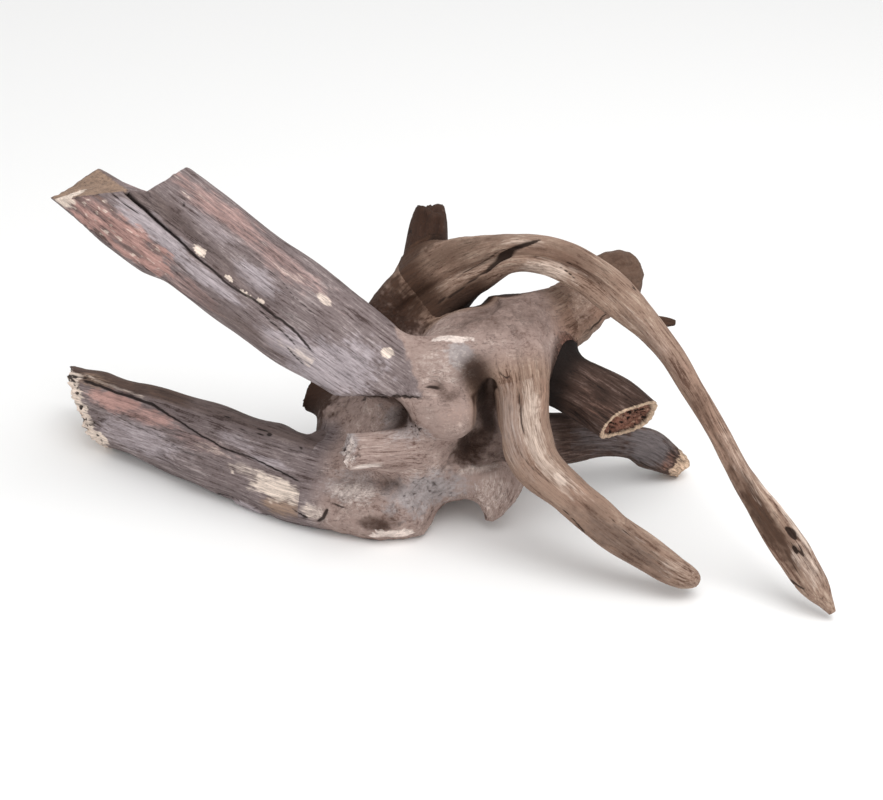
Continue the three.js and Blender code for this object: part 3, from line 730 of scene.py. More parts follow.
def belonging(points):
    """Of the limb that each point of the crown belongs to: its grain coordinates, its seed, and how much the
    point follows it instead of the burr wood (0 to 1)."""
    grain = np.zeros_like(points)
    seed = np.zeros(len(points), int)
    follows = np.zeros(len(points))
    for name, part in (forks | stubs).items():
        found = near(part, points)
        share = smooth(part.fork - 18, part.fork - 2, found.distance) * (1 - smooth(7, 16, found.outside))
        if name == "upper_log":
            share = np.maximum(share * (wedge(points)[1] < 0), wedge(points)[0] * (found.outside < 12))
        better = share > follows
        grain[better] = grain_place(found.distance, found.angle, found.radius)[better]
        seed[better] = part.seed
        follows[better] = share[better]
    return grain, seed, follows


def crown_carving(points, grain, seed, follows):
    """Grain relief where a limb is followed, burr relief elsewhere, mixed by follows."""
    carving = gnarl_carving(points)
    for part in (forks | stubs).values():
        mine = (seed == part.seed) & (follows > 0)
        share = follows[mine]
        along = grain_carving(grain[mine], part.seed)
        carving.height[mine] += share * (along.height - carving.height[mine])
        carving.cleft[mine] += share * (along.cleft - carving.cleft[mine])
    return carving


def crown_marks(points, closed):
    """Where the crown is silver-grey, pale, ruddy, dark-stained or worn, and where shade is painted on it: in
    recesses and closed-in places, towards its back, and near black in the slot and under the knob. Near a
    fork, limbs carry these marks on."""
    edge = ragged(points)
    silver = spots(points, edge, [
        (0.8, (35, 9, 105), (8, 7, 7), 0.5), (0.8, (17, -2, 29), (24, 18, 13), 0.6),
        (0.5, (-24, 0, 32), (20, 12, 9), 0.5), (0.75, (-30, 6, 100), (26, 22, 16), 0.5),
        (0.6, (6, 6, 66), (18, 16, 8), 0.6), (0.7, (-24, -14, 66), (7, 12, 9), 0.4),
    ])
    pale = np.maximum.reduce([
        spots(points, edge, [
            (0.8, (30, 16, 110.5), (11, 3, 2.6)), (0.6, (-24, -18, 65), (5, 9, 8)),
            (0.85, (-1, -11, 7), (13, 6, 4.5)), (0.5, (-43, -1, 15), (9, 6, 5), 0.4),
            (0.7, (-3, 8, 107), (4, 3, 2.5)), (0.5, (-22, -3, 29), (16, 9, 6), 0.8),
            (0.35, (26, 6, 100), (18, 14, 12), 0.6), (0.4, (52, 4, 26), (11, 10, 13), 0.6),
            (0.3, (33, -6, 72), (12, 10, 9), 0.6),
        ]),
        line_depth(points, [(-24, -18, 57), (-12, -20, 55.5), (0, -18, 54)], 2.4),
        0.5 * line_depth(points, [(35, 6, 37), (48, 8, 38), (57, 9, 38)], 4),
    ])
    ruddy = spots(points, edge, [
        (0.25, (33, -6, 76), (13, 12, 12), 0.6), (0.4, (92, 42, 104), (16, 16, 16), 0.6),
    ])
    slot_line = [(41, 8, 97), (45, 11, 87), (48, 21, 71), (51, 24, 56)]
    # Dark stains, and painted shade: in recesses, in closed-in places, towards the back and along the slot.
    dusk = np.maximum.reduce([
        spots(points, edge, [
            (1, (-38, 72, 46), (34, 26, 24), 0.4), (0.95, (15, 96, 122), (20, 22, 46)),
            (0.9, (-2, 70, 96), (28, 26, 26), 0.4), (0.55, (54, 34, 114), (34, 15, 9), 0.9),
            (1, (41, 12, 48), (13, 16, 10), 0.8), (0.75, (-9, -11, 15), (10, 7, 5), 0.6),
            (0.6, (-3, -6, 36), (9, 7, 5), 0.8),
        ]),
        0.6 * line_depth(points, [(23, 1, 92), (27, -3, 87), (36, 0, 90)], 4),
        line_depth(points, slot_line, 9), 0.45 * smooth(40, 90, points[:, 1]),
        1.1 * smooth(0.4, 0.9, closed),
    ])
    # Painted deep shade, near black: under the knob, in the slot and where the crown is most closed in.
    deep = np.maximum.reduce([
        0.6 * spot(points, edge, (38, 12, 50), (10, 12, 7), soft=0.9),
        0.9 * line_depth(points, slot_line, 6.5), 0.9 * smooth(0.62, 0.95, closed),
    ])
    worn = spots(points, edge, [
        (1, (26, 6, 100), (20, 16, 14), 0.4), (1, (31, -3, 76), (15, 12, 14), 0.4),
        (1, (48, 6, 32), (15, 14, 10), 0.4), (1, (-38, 66, 46), (26, 26, 20), 0.4),
    ])
    return {"silver": silver, "pale": pale, "ruddy": ruddy, "dusk": dusk, "deep": deep, "worn": worn}


points, quads = skin(crown_field, CROWN_LOW, CROWN_HIGH, CROWN_CELL)
for _ in range(2):
    points = settled(evened(points, quads, 0.6), crown_field)
for passes in (2, 1):
    points, quads = halved(points, quads)
    points = settled(evened(points, quads, 0.5), crown_field, passes)
normal = normals(points, quads)
grain, seed, follows = belonging(points)
carving = crown_carving(points, grain, seed, follows)
marks = crown_marks(points, shade(points, normal, outside_wood))
edge = ragged(points)
carving.height *= 1 - 0.6 * marks["worn"]
carving.cleft *= 1 - 0.8 * marks["worn"]
# A groove under the upper log's wedge, painted dark as the shadow that the wedge casts.
under_wedge = np.exp(-((wedge(points)[1] / 0.9) ** 2)) * smooth(-32, -10, points[:, 0]) * (points[:, 1] < 40)
under_wedge *= 1 - smooth(11, 17, points[:, 0])
nicks = np.maximum.reduce([
    line_depth(points, [(12, 1, 90), (19, 0, 91.5), (26, -1, 91)], 0.8), 0.7 * under_wedge,
    line_depth(points, [(-41, -2, 10), (-38, -4, 14), (-36, -4, 19)], 1.0),
    0.7 * line_depth(points, [(-40, 0, 24), (-30, -4, 22), (-18, -8, 20), (-8, -9, 24)], 0.5),
    0.6 * line_depth(points, [(5, -7, 30), (13, -3, 29), (22, 2, 29)], 0.6),
])
pits = smooth(0.32, 0.6, noise(points / 2.3, 70)) * spots(points, edge, [
    (0.6, (17, -2, 30), (24, 16, 14), 0.5), (1, (-26, -16, 65), (5, 12, 9)),
])
carving.height -= 1.6 * nicks + 1.3 * pits
carving.cleft = np.maximum.reduce([carving.cleft, nicks, 0.7 * pits])
kinds = {"as_log": ("upper_log", "lower_log"), "as_root": ("front_root", "arch_root", "rear_limb"),
         "as_dark": ("hollow_stub", "low_root")}
for mark, names in kinds.items():
    marks[mark] = follows * np.isin(seed, [forks[name].seed for name in names])
marks |= {"grain": grain, "limbness": follows, "cleft": carving.cleft}
points = points + normal * carving.height[:, None]
put_piece("crown_wood", points, quads, marks, crown_wood, "crown")


# Upper log
# The thick log end at the upper left, split along its length: a grey-mauve slab above the split, a lobe with
# bare salmon wood below it, and a clean slanting end face. It was broken off short and is worn by water.
SHADED_REACH = 60  # further than this past its fork, a limb isn't closed in by the crown


def along_limb(limb, spacing, missing, face_rows=26, round_tip=None, settles=True):
    """A limb's skin on a grid: distance along it by angle round it, then its end face from the rim to the
    axis. missing gives how much is broken off at (forward, sideways) shares of the section. round_tip is
    how far from its end a limb begins to round off, and settles says whether its start swells onto the
    wood that it grows from. The start is closed inside the crown. Gives points, quads and each point's
    distance, angle, radius and face, which is 0 on the side and grows to 1 on the axis."""
    columns = int(round(2 * np.pi * limb.table[:, 12:14].mean() / spacing))
    rows = int(round((limb.length - limb.fork) / spacing))
    angles = np.linspace(-np.pi, np.pi, columns, endpoint=False)
    full = limb.length - missing(np.cos(angles), np.sin(angles))
    start = limb.fork - 1.5
    distance = (start + (full - start) * np.linspace(0, 1, rows + 1)[:, None]).ravel()
    angle = np.tile(angles, rows + 1)
    place = station(limb, distance)
    outward = place.front * np.cos(angle)[:, None] + place.right * np.sin(angle)[:, None]
    own = plain_radius(limb, place, distance, angle)
    radius = own.copy()
    left = 1 - (distance - limb.fork) / SETTLE_REACH
    close = np.flatnonzero((left > 0) & settles)
    for _ in range(5):
        radius[close] -= outside_wood(place.centre[close] + outward[close] * radius[close, None])
    low, high = own[close] * 0.85, own[close] + MOST_SWELL * np.clip(left[close], 0, 1)
    radius[close] = np.clip(radius[close], low, high)
    radius -= 0.7 * (1 - smooth(start, start + 2, distance))
    if round_tip:
        short = np.clip((np.tile(full, rows + 1) - distance) / round_tip, 0, 1)
        radius *= np.sqrt(1 - (1 - short) ** 2) * 0.72 + 0.28
    points = place.centre + outward * radius[:, None]

    inward = np.repeat(1 - np.linspace(0, 1, face_rows + 2)[1:-1], columns)
    face_angle = np.tile(angles, face_rows)
    face_distance = limb.length - missing(np.cos(face_angle) * inward, np.sin(face_angle) * inward)
    face_radius = np.tile(radius[-columns:], face_rows) * inward
    place = station(limb, face_distance)
    outward = place.front * np.cos(face_angle)[:, None] + place.right * np.sin(face_angle)[:, None]
    beyond = np.maximum(face_distance - limb.length, 0)[:, None]
    face = place.centre + outward * face_radius[:, None] + place.along * beyond

    poles = np.array([start, limb.length - missing(np.zeros(1), np.zeros(1))[0]])
    points = np.vstack((points, face, station(limb, poles).centre))
    whole = rows + 1 + face_rows
    number = np.arange(whole * columns).reshape(whole, columns)
    beside = np.roll(number, -1, 1)
    quads = np.stack((number[:-1], beside[:-1], beside[1:], number[1:]), -1).reshape(-1, 4)
    first, last = (np.full(columns, whole * columns + k) for k in range(2))
    opening = np.stack((beside[0], number[0], first, first), 1)
    closing = np.stack((number[-1], beside[-1], last, last), 1)
    distance = np.concatenate((distance, face_distance, poles))
    angle = np.concatenate((angle, face_angle, (0, 0)))
    radius = np.concatenate((radius, face_radius, (0, 0)))
    grain = grain_place(distance, angle, radius)
    edge = 0.3 * noise(grain / (9, 3.5, 3.5), 95) + 0.25 * noise(grain / (3.5, 1.3, 1.3), 96)
    return SimpleNamespace(
        limb=limb, points=points, quads=np.vstack((quads, opening, closing)), distance=distance, angle=angle,
        radius=radius, grain=grain, edge=edge, face=np.concatenate((0 * own, 1 - inward, (0, 1))),
    )


def around(grid, angle):
    """How far round the skin, in millimetres, each point is from an angle in degrees."""
    turn = grid.angle - np.radians(angle)
    return np.arctan2(np.sin(turn), np.cos(turn)) * np.maximum(grid.radius, 1)


def crack(grid, line, width, wiggle=0.7):
    """1 along a crack through (distance, angle) places, falling off over its width and towards its ends."""
    line = np.array(sorted(line), float)
    middle = np.interp(grid.distance, line[:, 0], line[:, 1])
    wander = noise(grid.grain / (14, 60, 60), 91) + 0.35 * noise(grid.grain / (4, 30, 30), 92)
    aside = around(grid, middle) + wiggle * wander
    low, high = line[0, 0], line[-1, 0]
    fade = smooth(low - 3, low + 6, grid.distance) * (1 - smooth(high - 4, high + 2, grid.distance))
    return np.exp(-((aside / width) ** 2)) * fade


def patch(grid, distance, angle, length, width, soft=0.3):
    """1 inside an oval on the skin and 0 outside, with a ragged edge drawn out along the grain."""
    away = np.hypot((grid.distance - distance) / length, around(grid, angle) / width) + grid.edge
    return 1 - smooth(1 - soft, 1 + soft, away)


def patches(grid, rows):
    """The most of several patches. Each row is a strength, then a patch's distance, angle, length, width and
    softness."""
    return np.maximum.reduce([strength * patch(grid, *place) for strength, *place in rows])


def behind(grid, low, high):
    """0 in front and 1 on the back of a limb, going from one to the other between two angles in radians. The
    limbs use it to paint shade on their backs.
    """
    return smooth(low, high, np.abs(grid.angle))


def on_side(grid):
    """1 on a limb's side and 0 on its end face."""
    return 1 - smooth(0.0, 0.04, grid.face)


def before_rim(grid, missing):
    """How far before a limb's broken rim each point lies, along the limb."""
    return grid.limb.length - missing(np.cos(grid.angle), np.sin(grid.angle)) - grid.distance


def knot(grid, carving, distance, angle, size):
    """A knot: a low swelling with a sunken eye and a ring crack round part of it. Gives 1 in its eye."""
    away = np.hypot((grid.distance - distance) / (1.4 * size), around(grid, angle) / size) + 0.5 * grid.edge
    turn = np.arctan2(around(grid, angle), grid.distance - distance)
    carving.height += 0.9 * np.exp(-(away**2)) - 0.8 * np.exp(-((away / 0.35) ** 2))
    ring = np.exp(-(((away - 0.8) / 0.16) ** 2)) * (0.5 + 0.5 * np.cos(turn - distance))
    cut(carving, 0.32 * ring, 0.5)
    return np.exp(-((away / 0.45) ** 2))


def cut(carving, where, depth):
    """A crack or slot in the carving: lower by depth where it is 1, and painted dark inside as shade."""
    carving.height -= depth * where
    carving.cleft = np.maximum(carving.cleft, where)


def cracks(grid, carving, rows, side=1):
    """Cuts several cracks. Each row is a strength and a depth, then a crack's line, width and wiggle."""
    for strength, depth, *place in rows:
        cut(carving, strength * side * crack(grid, *place), depth)


def carved(grid, side_share, face_share):
    """The grain carving of a limb, with its strength on the side and on the end face."""
    carving = grain_carving(grid.grain, grid.limb.seed)
    share = side_share + (face_share - side_share) * smooth(0.0, 0.05, grid.face)
    carving.height *= share
    carving.cleft *= share
    return carving


def put_limb(node, grid, carving, material, slot, own_name=None, limbness=1.0, **marks):
    """Carves a limb's grid and puts it in place of its solid. Near the crown it takes on the crown's marks,
    its painted shade among them. own_name names a piece that isn't the solid's only one, and limbness is how
    far its looks follow the grain."""
    normal = normals(grid.points, grid.quads)
    past = grid.distance - grid.limb.fork
    close = past < SHADED_REACH
    closed = np.zeros(len(past))
    closed[close] = shade(grid.points[close], normal[close], outside_wood)
    share = 1 - smooth(5, 45, past)
    for mark, on_crown in crown_marks(grid.points, closed).items():
        marks[mark] = np.maximum(marks.get(mark, 0), on_crown * share)
    marks |= {"grain": grid.grain, "limbness": limbness + 0 * past, "cleft": carving.cleft}
    depth = carving.height * np.where(grid.face > 0, 1, smooth(-1.5, 0, past))
    name = own_name or node + "_wood"
    put_piece(name, grid.points + normal * depth[:, None], grid.quads, marks, material, node)


def lengthened(fork, rows):
    """A whole limb: its curve where it leaves the crown, with more rows after it."""
    return limb(fork.rows.tolist() + rows, fork.fork, fork.ridges, fork.seed, waves=fork.waves)


log_wood = wood("weathered log wood", log_colours)
fork = forks["upper_log"]
upper = lengthened(fork, [[-112, 40, 166, 25.5, 20], [-139, 44, 185, 25.5, 18], [-164, 48, 203, 25, 16]])


def broken_off_upper_log(forward, sideways):
    """A slant that leaves the lobe longest, and a step back to the slab, which slants away from the front."""
    lobe = 29 + 20 * sideways + 10 * forward + 12 * np.maximum(0, -forward) * np.maximum(0, -sideways)
    slab = 49 + 9 * sideways - 4.5 * forward
    return lobe + (slab - lobe) * smooth(0.02, 0.24, sideways)


grid = along_limb(upper, 0.7, broken_off_upper_log)
side = on_side(grid)
carving = carved(grid, 0.9, 0.35)
split_line = [
    (180, 0), (174, -2), (158, -10), (143, -15), (127, -19), (109, -22), (90, -21), (71, -23), (60, -28),
    (49, -33),
]
split = crack(grid, split_line, 0.45 + 0.65 * smooth(115, 172, grid.distance), 0.8) * side
cut(carving, split, 0.9 + 3.6 * smooth(105, 165, grid.distance))
cracks(grid, carving, [
    (0.7, 0.6, [(64, -46), (54, -52), (47, -55)], 0.4), (0.7, 0.6, [(88, -26), (70, -33), (56, -41)], 0.4),
    (0.5, 0.4, [(110, 24), (84, 20), (60, 8), (50, -8)], 0.35),
    (0.5, 0.4, [(160, -2), (140, -6), (122, -8)], 0.35),
], side)
bare = patches(grid, [(1, 176, -58, 22, 11), (1, 152, -58, 22, 9)]) * side
layers = noise(grid.grain / (15, 4.5, 4.5), 81)
carving.height += bare * (0.7 * smooth(-0.12, 0.02, layers) + 0.7 * smooth(0.18, 0.3, layers) - 1.2)
carving.cleft *= 1 - 0.8 * bare
lobe_face = smooth(0.0, 0.04, grid.face) * (1 - smooth(-1, 1, grid.grain[:, 2]))
carving.height += lobe_face * (0.5 * noise(grid.points / (7, 7, 4), 82) + 0.3 * noise(grid.points / 2.6, 83))
crumbs = noise(grid.grain / (1.3, 0.8, 0.8), 99)
chips = patches(grid, [
    (1, 127, -12, 3.4, 2.0, 0.7), (1, 107, -17, 2.4, 1.1, 0.7), (1, 95, -20, 4, 0.7, 0.7),
    (1, 88, -17, 2.6, 1, 0.7),
])
chips = smooth(0.35, 0.65, chips + 0.45 * crumbs)
scratch = np.maximum.reduce([
    crack(grid, [(152, 38), (147, 36), (142, 35)], 0.4), crack(grid, [(149, 30), (147, 36), (144, 41)], 0.4),
])
carving.height += 0.3 * chips
# A low ridge along the slab's top edge, made pale further down as a painted highlight.
ridge_with_painted_highlight = crack(grid, [(168, 46), (130, 46), (106, 44), (80, 40), (57, 36)], 0.7, 1.6)
carving.height += 0.4 * ridge_with_painted_highlight
flecks = smooth(0.25, 0.5, noise(grid.grain / (3.4, 1.7, 1.7), 94))
pale = np.maximum.reduce([
    patches(grid, [
        (0.75, 196, -66, 7, 5), (0.6, 60, 33, 5, 2.2), (0.35, 84, 34, 12, 2, 0.6),
        (0.45, 52, -46, 14, 4, 0.6),
    ]),
    0.9 * chips, 0.7 * scratch, 0.5 * ridge_with_painted_highlight * smooth(-0.3, 0.3, noise(grid.grain / (9, 20, 20), 93)),
    0.55 * bare * flecks, 0.3 * patch(grid, 162, -60, 20, 4) * smooth(0.1, 0.3, layers),
])
ruddy = np.maximum.reduce([
    patches(grid, [
        (0.5, 128, 47, 34, 7, 0.6), (0.4, 88, 40, 34, 7, 0.6), (0.4, 120, -58, 20, 6, 0.5),
        (0.3, 168, 45, 16, 8, 0.6),
    ]),
    bare * (0.45 + 0.5 * smooth(-0.35, 0.15, layers)),
])
silver = patches(grid, [
    (0.95, 152, -25, 26, 5, 0.4), (0.7, 116, -33, 22, 4, 0.5), (0.8, 96, 5, 13, 6, 0.6),
    (0.8, 60, -45, 20, 7, 0.5), (0.4, 130, 24, 20, 6, 0.6),
]) * side
dusk = np.maximum.reduce([
    patches(grid, [(0.4, 84, -58, 30, 6, 0.6), (0.35, 108, -8, 24, 5, 0.6)]),
    0.4 * patch(grid, 150, 4, 26, 7, 0.6) * side, 0.45 * behind(grid, 1.9, 2.6),
    0.5 * bare * smooth(0.2, 0.5, -layers),
])
khaki = 0.75 * lobe_face
put_limb(
    "upper_log", grid, carving, log_wood, "log_wood",
    silver=silver, pale=pale, ruddy=ruddy, dusk=dusk, khaki=khaki,
)


# Lower log
# The thick log end at the lower left, lying on the ground: dark brown on top, mauve-grey and fine-grained in
# front, with a long crack between them and a pale crumbling end.
fork = forks["lower_log"]
lower = lengthened(fork, [[-149, 88, 18, 19, 18], [-200, 118, 18, 18.5, 17]])


def broken_off_lower_log(forward, sideways):
    """A slant that leaves the top longest, with crumbs at the rim."""
    crumbs = noise(np.stack((9 * forward, 9 * sideways, 0 * forward), 1), 5)
    return 21 - 17 * sideways + 4 * forward + 2.6 * crumbs


grid = along_limb(lower, 0.72, broken_off_lower_log)
side = on_side(grid)
to_end = before_rim(grid, broken_off_lower_log)
carving = carved(grid, 0.8, 0.3)
seam_line = [
    (215, 49), (193, 43), (178, 43), (162, 41), (150, 36), (135, 29), (119, 18), (102, 12), (89, 13),
    (79, 13), (63, 4), (52, 0),
]
seam = crack(grid, seam_line, 0.42 + 0.2 * smooth(110, 170, grid.distance), 0.7) * side
cut(carving, seam, 1.3)
cracks(grid, carving, [
    (0.5, 0.4, [(150, -4), (128, -14), (112, -14)], 0.35), (0.5, 0.4, [(186, 5), (166, -3), (150, -8)], 0.35),
], side)
lip = crack(grid, [(218, 58), (200, 50), (180, 49), (165, 46)], 1.0, 0.5) * side
carving.height += 0.5 * lip
crumbled = (1 - smooth(4, 13, to_end + 14 * grid.edge)) * (1 - smooth(3, 8, around(grid, 42)))
crumbled = np.maximum(1 - side, crumbled)
pits = smooth(0.22, 0.5, noise(grid.points / 2.3, 84))
carving.height += crumbled * (1.1 * noise(grid.points / 3.6, 83) + 0.5 * noise(grid.points / 1.6, 85) - 0.3)
cut(carving, 0.9 * crumbled * pits, 1.1)
eye = knot(grid, carving, 93, -16, 2.6)
bark = patch(grid, 86, -72, 9, 5)
carving.height += 1.8 * bark
pale = np.maximum.reduce([
    patches(grid, [
        (0.95, 191, -48, 7, 4.5), (0.85, 66, -20, 16, 6, 0.6), (0.35, 112, 4, 16, 2.5, 0.6),
        (0.45, 84, -8, 16, 4, 0.6),
    ]),
    0.85 * crumbled, 0.5 * lip, 0.9 * eye, 0.3 * crack(grid, [(140, 38), (120, 27), (104, 21)], 1.0, 1.2),
])
ruddy = patches(grid, [
    (0.85, 186, 27, 20, 6, 0.5), (0.65, 160, 20, 22, 5, 0.6), (0.35, 120, 6, 26, 5, 0.6),
])
silver = np.maximum.reduce([
    patches(grid, [(0.6, 160, -22, 34, 10, 0.6), (0.6, 76, 16, 14, 3, 0.6), (0.5, 100, 30, 16, 4, 0.6)]),
    0.8 * bark,
])
dusk = np.maximum.reduce([
    0.85 * smooth(-1, 3, around(grid, 45)) * smooth(120, 150, grid.distance) * side,
    0.5 * smooth(0, 8, around(grid, 38)) * side, 0.5 * behind(grid, 1.7, 2.5),
])
khaki = patches(grid, [(0.6, 62, -42, 12, 7, 0.5), (0.5, 208, 50, 16, 4, 0.5)])
put_limb(
    "lower_log", grid, carving, log_wood, "log_wood",
    silver=silver, pale=pale, ruddy=ruddy, dusk=dusk, khaki=khaki,
)


# Front root
# The root that comes over the crown and down to the right in front: a beige ridge worn smooth along its right
# side, grey-brown bark-like wood on its left, small knots half-way and a pale worn tip.
root_wood = wood("weathered root wood", root_colours)
fork = forks["front_root"]
front = lengthened(fork, [
    [108, -39, 33, 9.5, 10], [126, -46, 22.5, 8.5, 9], [141, -51, 14.5, 7.5, 8], [155, -55, 9.5, 5.5, 6],
])


def whole(forward, sideways):
    """Nothing is broken off."""
    return 0 * forward


grid = along_limb(front, 0.6, whole, face_rows=12, round_tip=9)
carving = carved(grid, 0.75, 0.5)
cracks(grid, carving, [
    (0.7, 0.8, [(36, 8), (48, 5), (60, 2)], 0.42), (0.5, 0.4, [(62, 24), (76, 18), (88, 8)], 0.4),
])
for distance, angle, size in ((44, -27, 3), (102, -13, 2.2), (105, 8, 1.7), (98, -30, 1.6), (152, 5, 1.6)):
    knot(grid, carving, distance, angle, size)
pale = patches(grid, [
    (0.6, 58, -16, 30, 6, 0.7), (0.55, 82, -14, 22, 5, 0.6), (0.85, 89, -11, 5, 1.8),
    (0.35, 164, -5, 14, 8, 0.6), (0.25, 140, -20, 16, 3, 0.6),
])
silver = patches(grid, [(0.45, 54, 28, 26, 8, 0.8), (0.35, 130, 14, 30, 8, 0.6)])
ruddy = patches(grid, [(0.35, 100, -10, 12, 7, 0.6), (0.4, 42, -45, 14, 6, 0.6)])
dusk = np.maximum.reduce([
    patches(grid, [(0.5, 134, 18, 32, 9, 0.7), (0.3, 118, 0, 14, 8, 0.7)]),
    0.3 * smooth(8, 16, around(grid, 34)), 0.45 * behind(grid, 1.6, 2.6),
])
worn = 0.5 * (1 - smooth(110, 130, grid.distance))
put_limb(
    "front_root", grid, carving, root_wood, "root_wood",
    silver=silver, pale=pale, ruddy=ruddy, dusk=dusk, worn=worn,
)


# Arch root
# The long thin root that starts behind the upper log as two strands with a rift between them, arches over
# everything and comes down at the far right, where one strand splits off. Its short twig, painted dark as
# shade, is fused to it.
fork = forks["arch_root"]
arch = lengthened(fork, [
    [82, 52, 139, 8.5, 8.5], [102, 39, 135, 9.5, 7.5], [120, 24, 125, 9, 7], [137, 9, 111, 6.5, 6.5],
    [151, -6, 94, 5.5, 5.5], [163, -19, 77, 5.4, 5], [174, -32, 60, 5.8, 5.2], [185.5, -44, 44, 6.4, 5.5],
    [198.5, -56, 29, 7.4, 6], [209, -65, 15.5, 7.4, 6], [215, -70, 8.5, 4, 4], [218.5, -73, 4, 1.8, 2.5],
])
grid = along_limb(arch, 0.56, whole, face_rows=6)
carving = carved(grid, 1.0, 1.0)
carving.height *= np.clip(grid.radius / 12, 0.3, 0.9)
opens = np.sin(np.pi * np.clip((grid.distance - 74) / 40, 0, 1))
rift_line = [(76, 33), (80, 32), (90, 11), (99, -7), (107, -21), (113, -34)]
cut(carving, crack(grid, rift_line, 0.35 + 1.1 * opens, 0.6), 1 + 2.6 * opens)
cracks(grid, carving, [
    (0.7, 1.2, [(38, 32), (53, 39), (68, 35), (82, 31)], 0.5, 0.6),
    (0.6, 0.6, [(60, 14), (76, 8), (88, -6), (96, -14)], 0.4, 0.8),
])
flap = patch(grid, 104, -26, 12, 2.6)
carving.height += 1.1 * flap
# A shallow groove along the twist. Further down, its darker face gets painted shade.
twist = crack(grid, [(222, 20), (250, 24), (279, 6), (296, -10), (318, -16)], 1.8, 0.6)
carving.height -= 0.7 * twist
cut(carving, patches(grid, [(1, 306, -40, 3.8, 1.5), (0.7, 314, -16, 2.2, 1)]), 2.0)
for distance, angle, size in ((217, 16, 2.6), (223, -13, 2.0), (171, 20, 3), (330, -30, 2.6), (187, 30, 2)):
    knot(grid, carving, distance, angle, size)
strand = crack(grid, [(270, -74), (284, -69), (297, -62), (308, -55), (320, -60)], 1.8)
carving.height += 0.7 * strand
pale = np.maximum.reduce([
    patches(grid, [
        (0.55, 324, -30, 14, 6, 0.7), (0.6, 118, 52, 20, 4.5, 0.6), (0.35, 72, 15, 30, 4, 0.7),
        (0.2, 145, 20, 30, 6, 0.8), (0.4, 262, -24, 26, 5, 0.7),
    ]),
    0.8 * strand, 0.4 * flap,
])
silver = 0.3 * patch(grid, 190, 30, 40, 6, 0.8)
ruddy = patches(grid, [(0.35, 250, 10, 60, 8, 0.8), (0.4, 120, 0, 24, 6, 0.8), (0.3, 60, -10, 20, 8, 0.8)])
# Dark stains, and painted shade on the underside and base near the crown, on the back and along the twist.
dusk = np.maximum.reduce([
    patches(grid, [
        (0.55, 62, -44, 34, 7, 0.7), (0.35, 228, 25, 8, 4, 0.6), (0.85, 294, 24, 30, 5, 0.6),
        (0.4, 130, -20, 24, 5, 0.7),
    ]),
    smooth(-3, 2, around(grid, 38)) * (1 - smooth(66, 92, grid.distance)),
    0.5 * behind(grid, 1.9, 2.6), 0.9 * (1 - smooth(38, 64, grid.distance)), 0.5 * twist,
])
# Painted deep shade under the arch's base.
deep = 0.8 * smooth(-2, 3, around(grid, 42)) * (1 - smooth(60, 84, grid.distance))
put_limb(
    "arch_root", grid, carving, root_wood, "root_wood",
    silver=silver, pale=pale, ruddy=ruddy, dusk=dusk, deep=deep,
)

twig = limb(
    [[121, 22, 119, 3.4, 3], [131, 26, 115.5, 3.4, 3], [139, 30, 113, 2.8, 2.4], [145, 33, 111, 1.6, 1.6]],
    fork=1.5, seed=12,
)
grid = along_limb(twig, 0.5, whole, face_rows=3, settles=False)
carving = carved(grid, 0.5, 0.5)
# The whole twig is painted dark as shade.
dusk = np.ones(len(grid.angle))
put_limb("arch_root", grid, carving, root_wood, "root_wood", own_name="twig_wood", dusk=dusk)


# Rear limb
# The short thick limb behind the arch: pinkish beige where it leaves the crown, ending in a rounded brown
# knob. Its grain hardly shows, because the wood there is burr wood like the crown's.
fork = forks["rear_limb"]
grid = along_limb(fork, 0.7, whole, face_rows=10, round_tip=9)
carving = carved(grid, 0.8, 0.8)
carving.height += 1.0 * noise(grid.points / 5, 86)
pale = patches(grid, [(0.45, 44, -5, 14, 12, 0.8), (0.4, 38, 20, 8, 6, 0.8)])
ruddy = patches(grid, [(0.5, 46, 5, 20, 18, 0.7), (0.3, 78, 0, 14, 12, 0.7)])
silver = 0.35 * patch(grid, 52, -20, 12, 8, 0.8)
dusk = np.maximum(0.65 * smooth(54, 68, grid.distance), 0.4 * behind(grid, 1.6, 2.5))
put_limb(
    "rear_limb", grid, carving, root_wood, "root_wood", limbness=0.35,
    pale=pale, ruddy=ruddy, silver=silver, dusk=dusk,
)


# Hollow stub
# The broken stub at the right: dark bark-like wood round a rotted core of reddish splinters, with a thin pale
# rim where it was snapped off.
dark_wood = wood("dark stub wood", dark_colours)
fork = forks["hollow_stub"]


def broken_off_hollow_stub(forward, sideways):
    """A slant that leaves the upper side longest, and a shallow hollow of splinters inside a thin rim."""
    inside = 1 - smooth(0.74, 0.92, np.hypot(forward, sideways))
    splinters = noise(np.stack((4.5 * forward, 5.5 * sideways, 0 * forward), 1), 87)
    rim = 11 + 7 * sideways + 2.5 * forward + forward**3 - 3 * forward * sideways**2
    return rim + inside * (3.5 + 2.4 * splinters)


grid = along_limb(fork, 0.62, broken_off_hollow_stub, face_rows=44)
side = on_side(grid)
carving = carved(grid, 0.95, 0.4)
inside = smooth(0.1, 0.22, grid.face)
to_end = before_rim(grid, broken_off_hollow_stub)
rim = (1 - inside) * (1 - side) + side * np.exp(-((to_end / 0.9) ** 2))
clefts = smooth(0.1, 0.4, noise(grid.grain / (9, 2.1, 2.8), 88)) * inside
cut(carving, 0.8 * clefts, 0.8)
carving.height += rim * 0.5 * noise(grid.points / 1.6, 89)
pale = np.maximum(0.8 * rim, 0.4 * inside * smooth(0.15, 0.4, noise(grid.grain / (9, 3, 3), 90)))
ruddy = np.maximum.reduce([
    patches(grid, [(0.2, 58, 10, 16, 9, 0.7), (0.15, 44, -20, 12, 9, 0.7)]), 0.6 * inside,
])
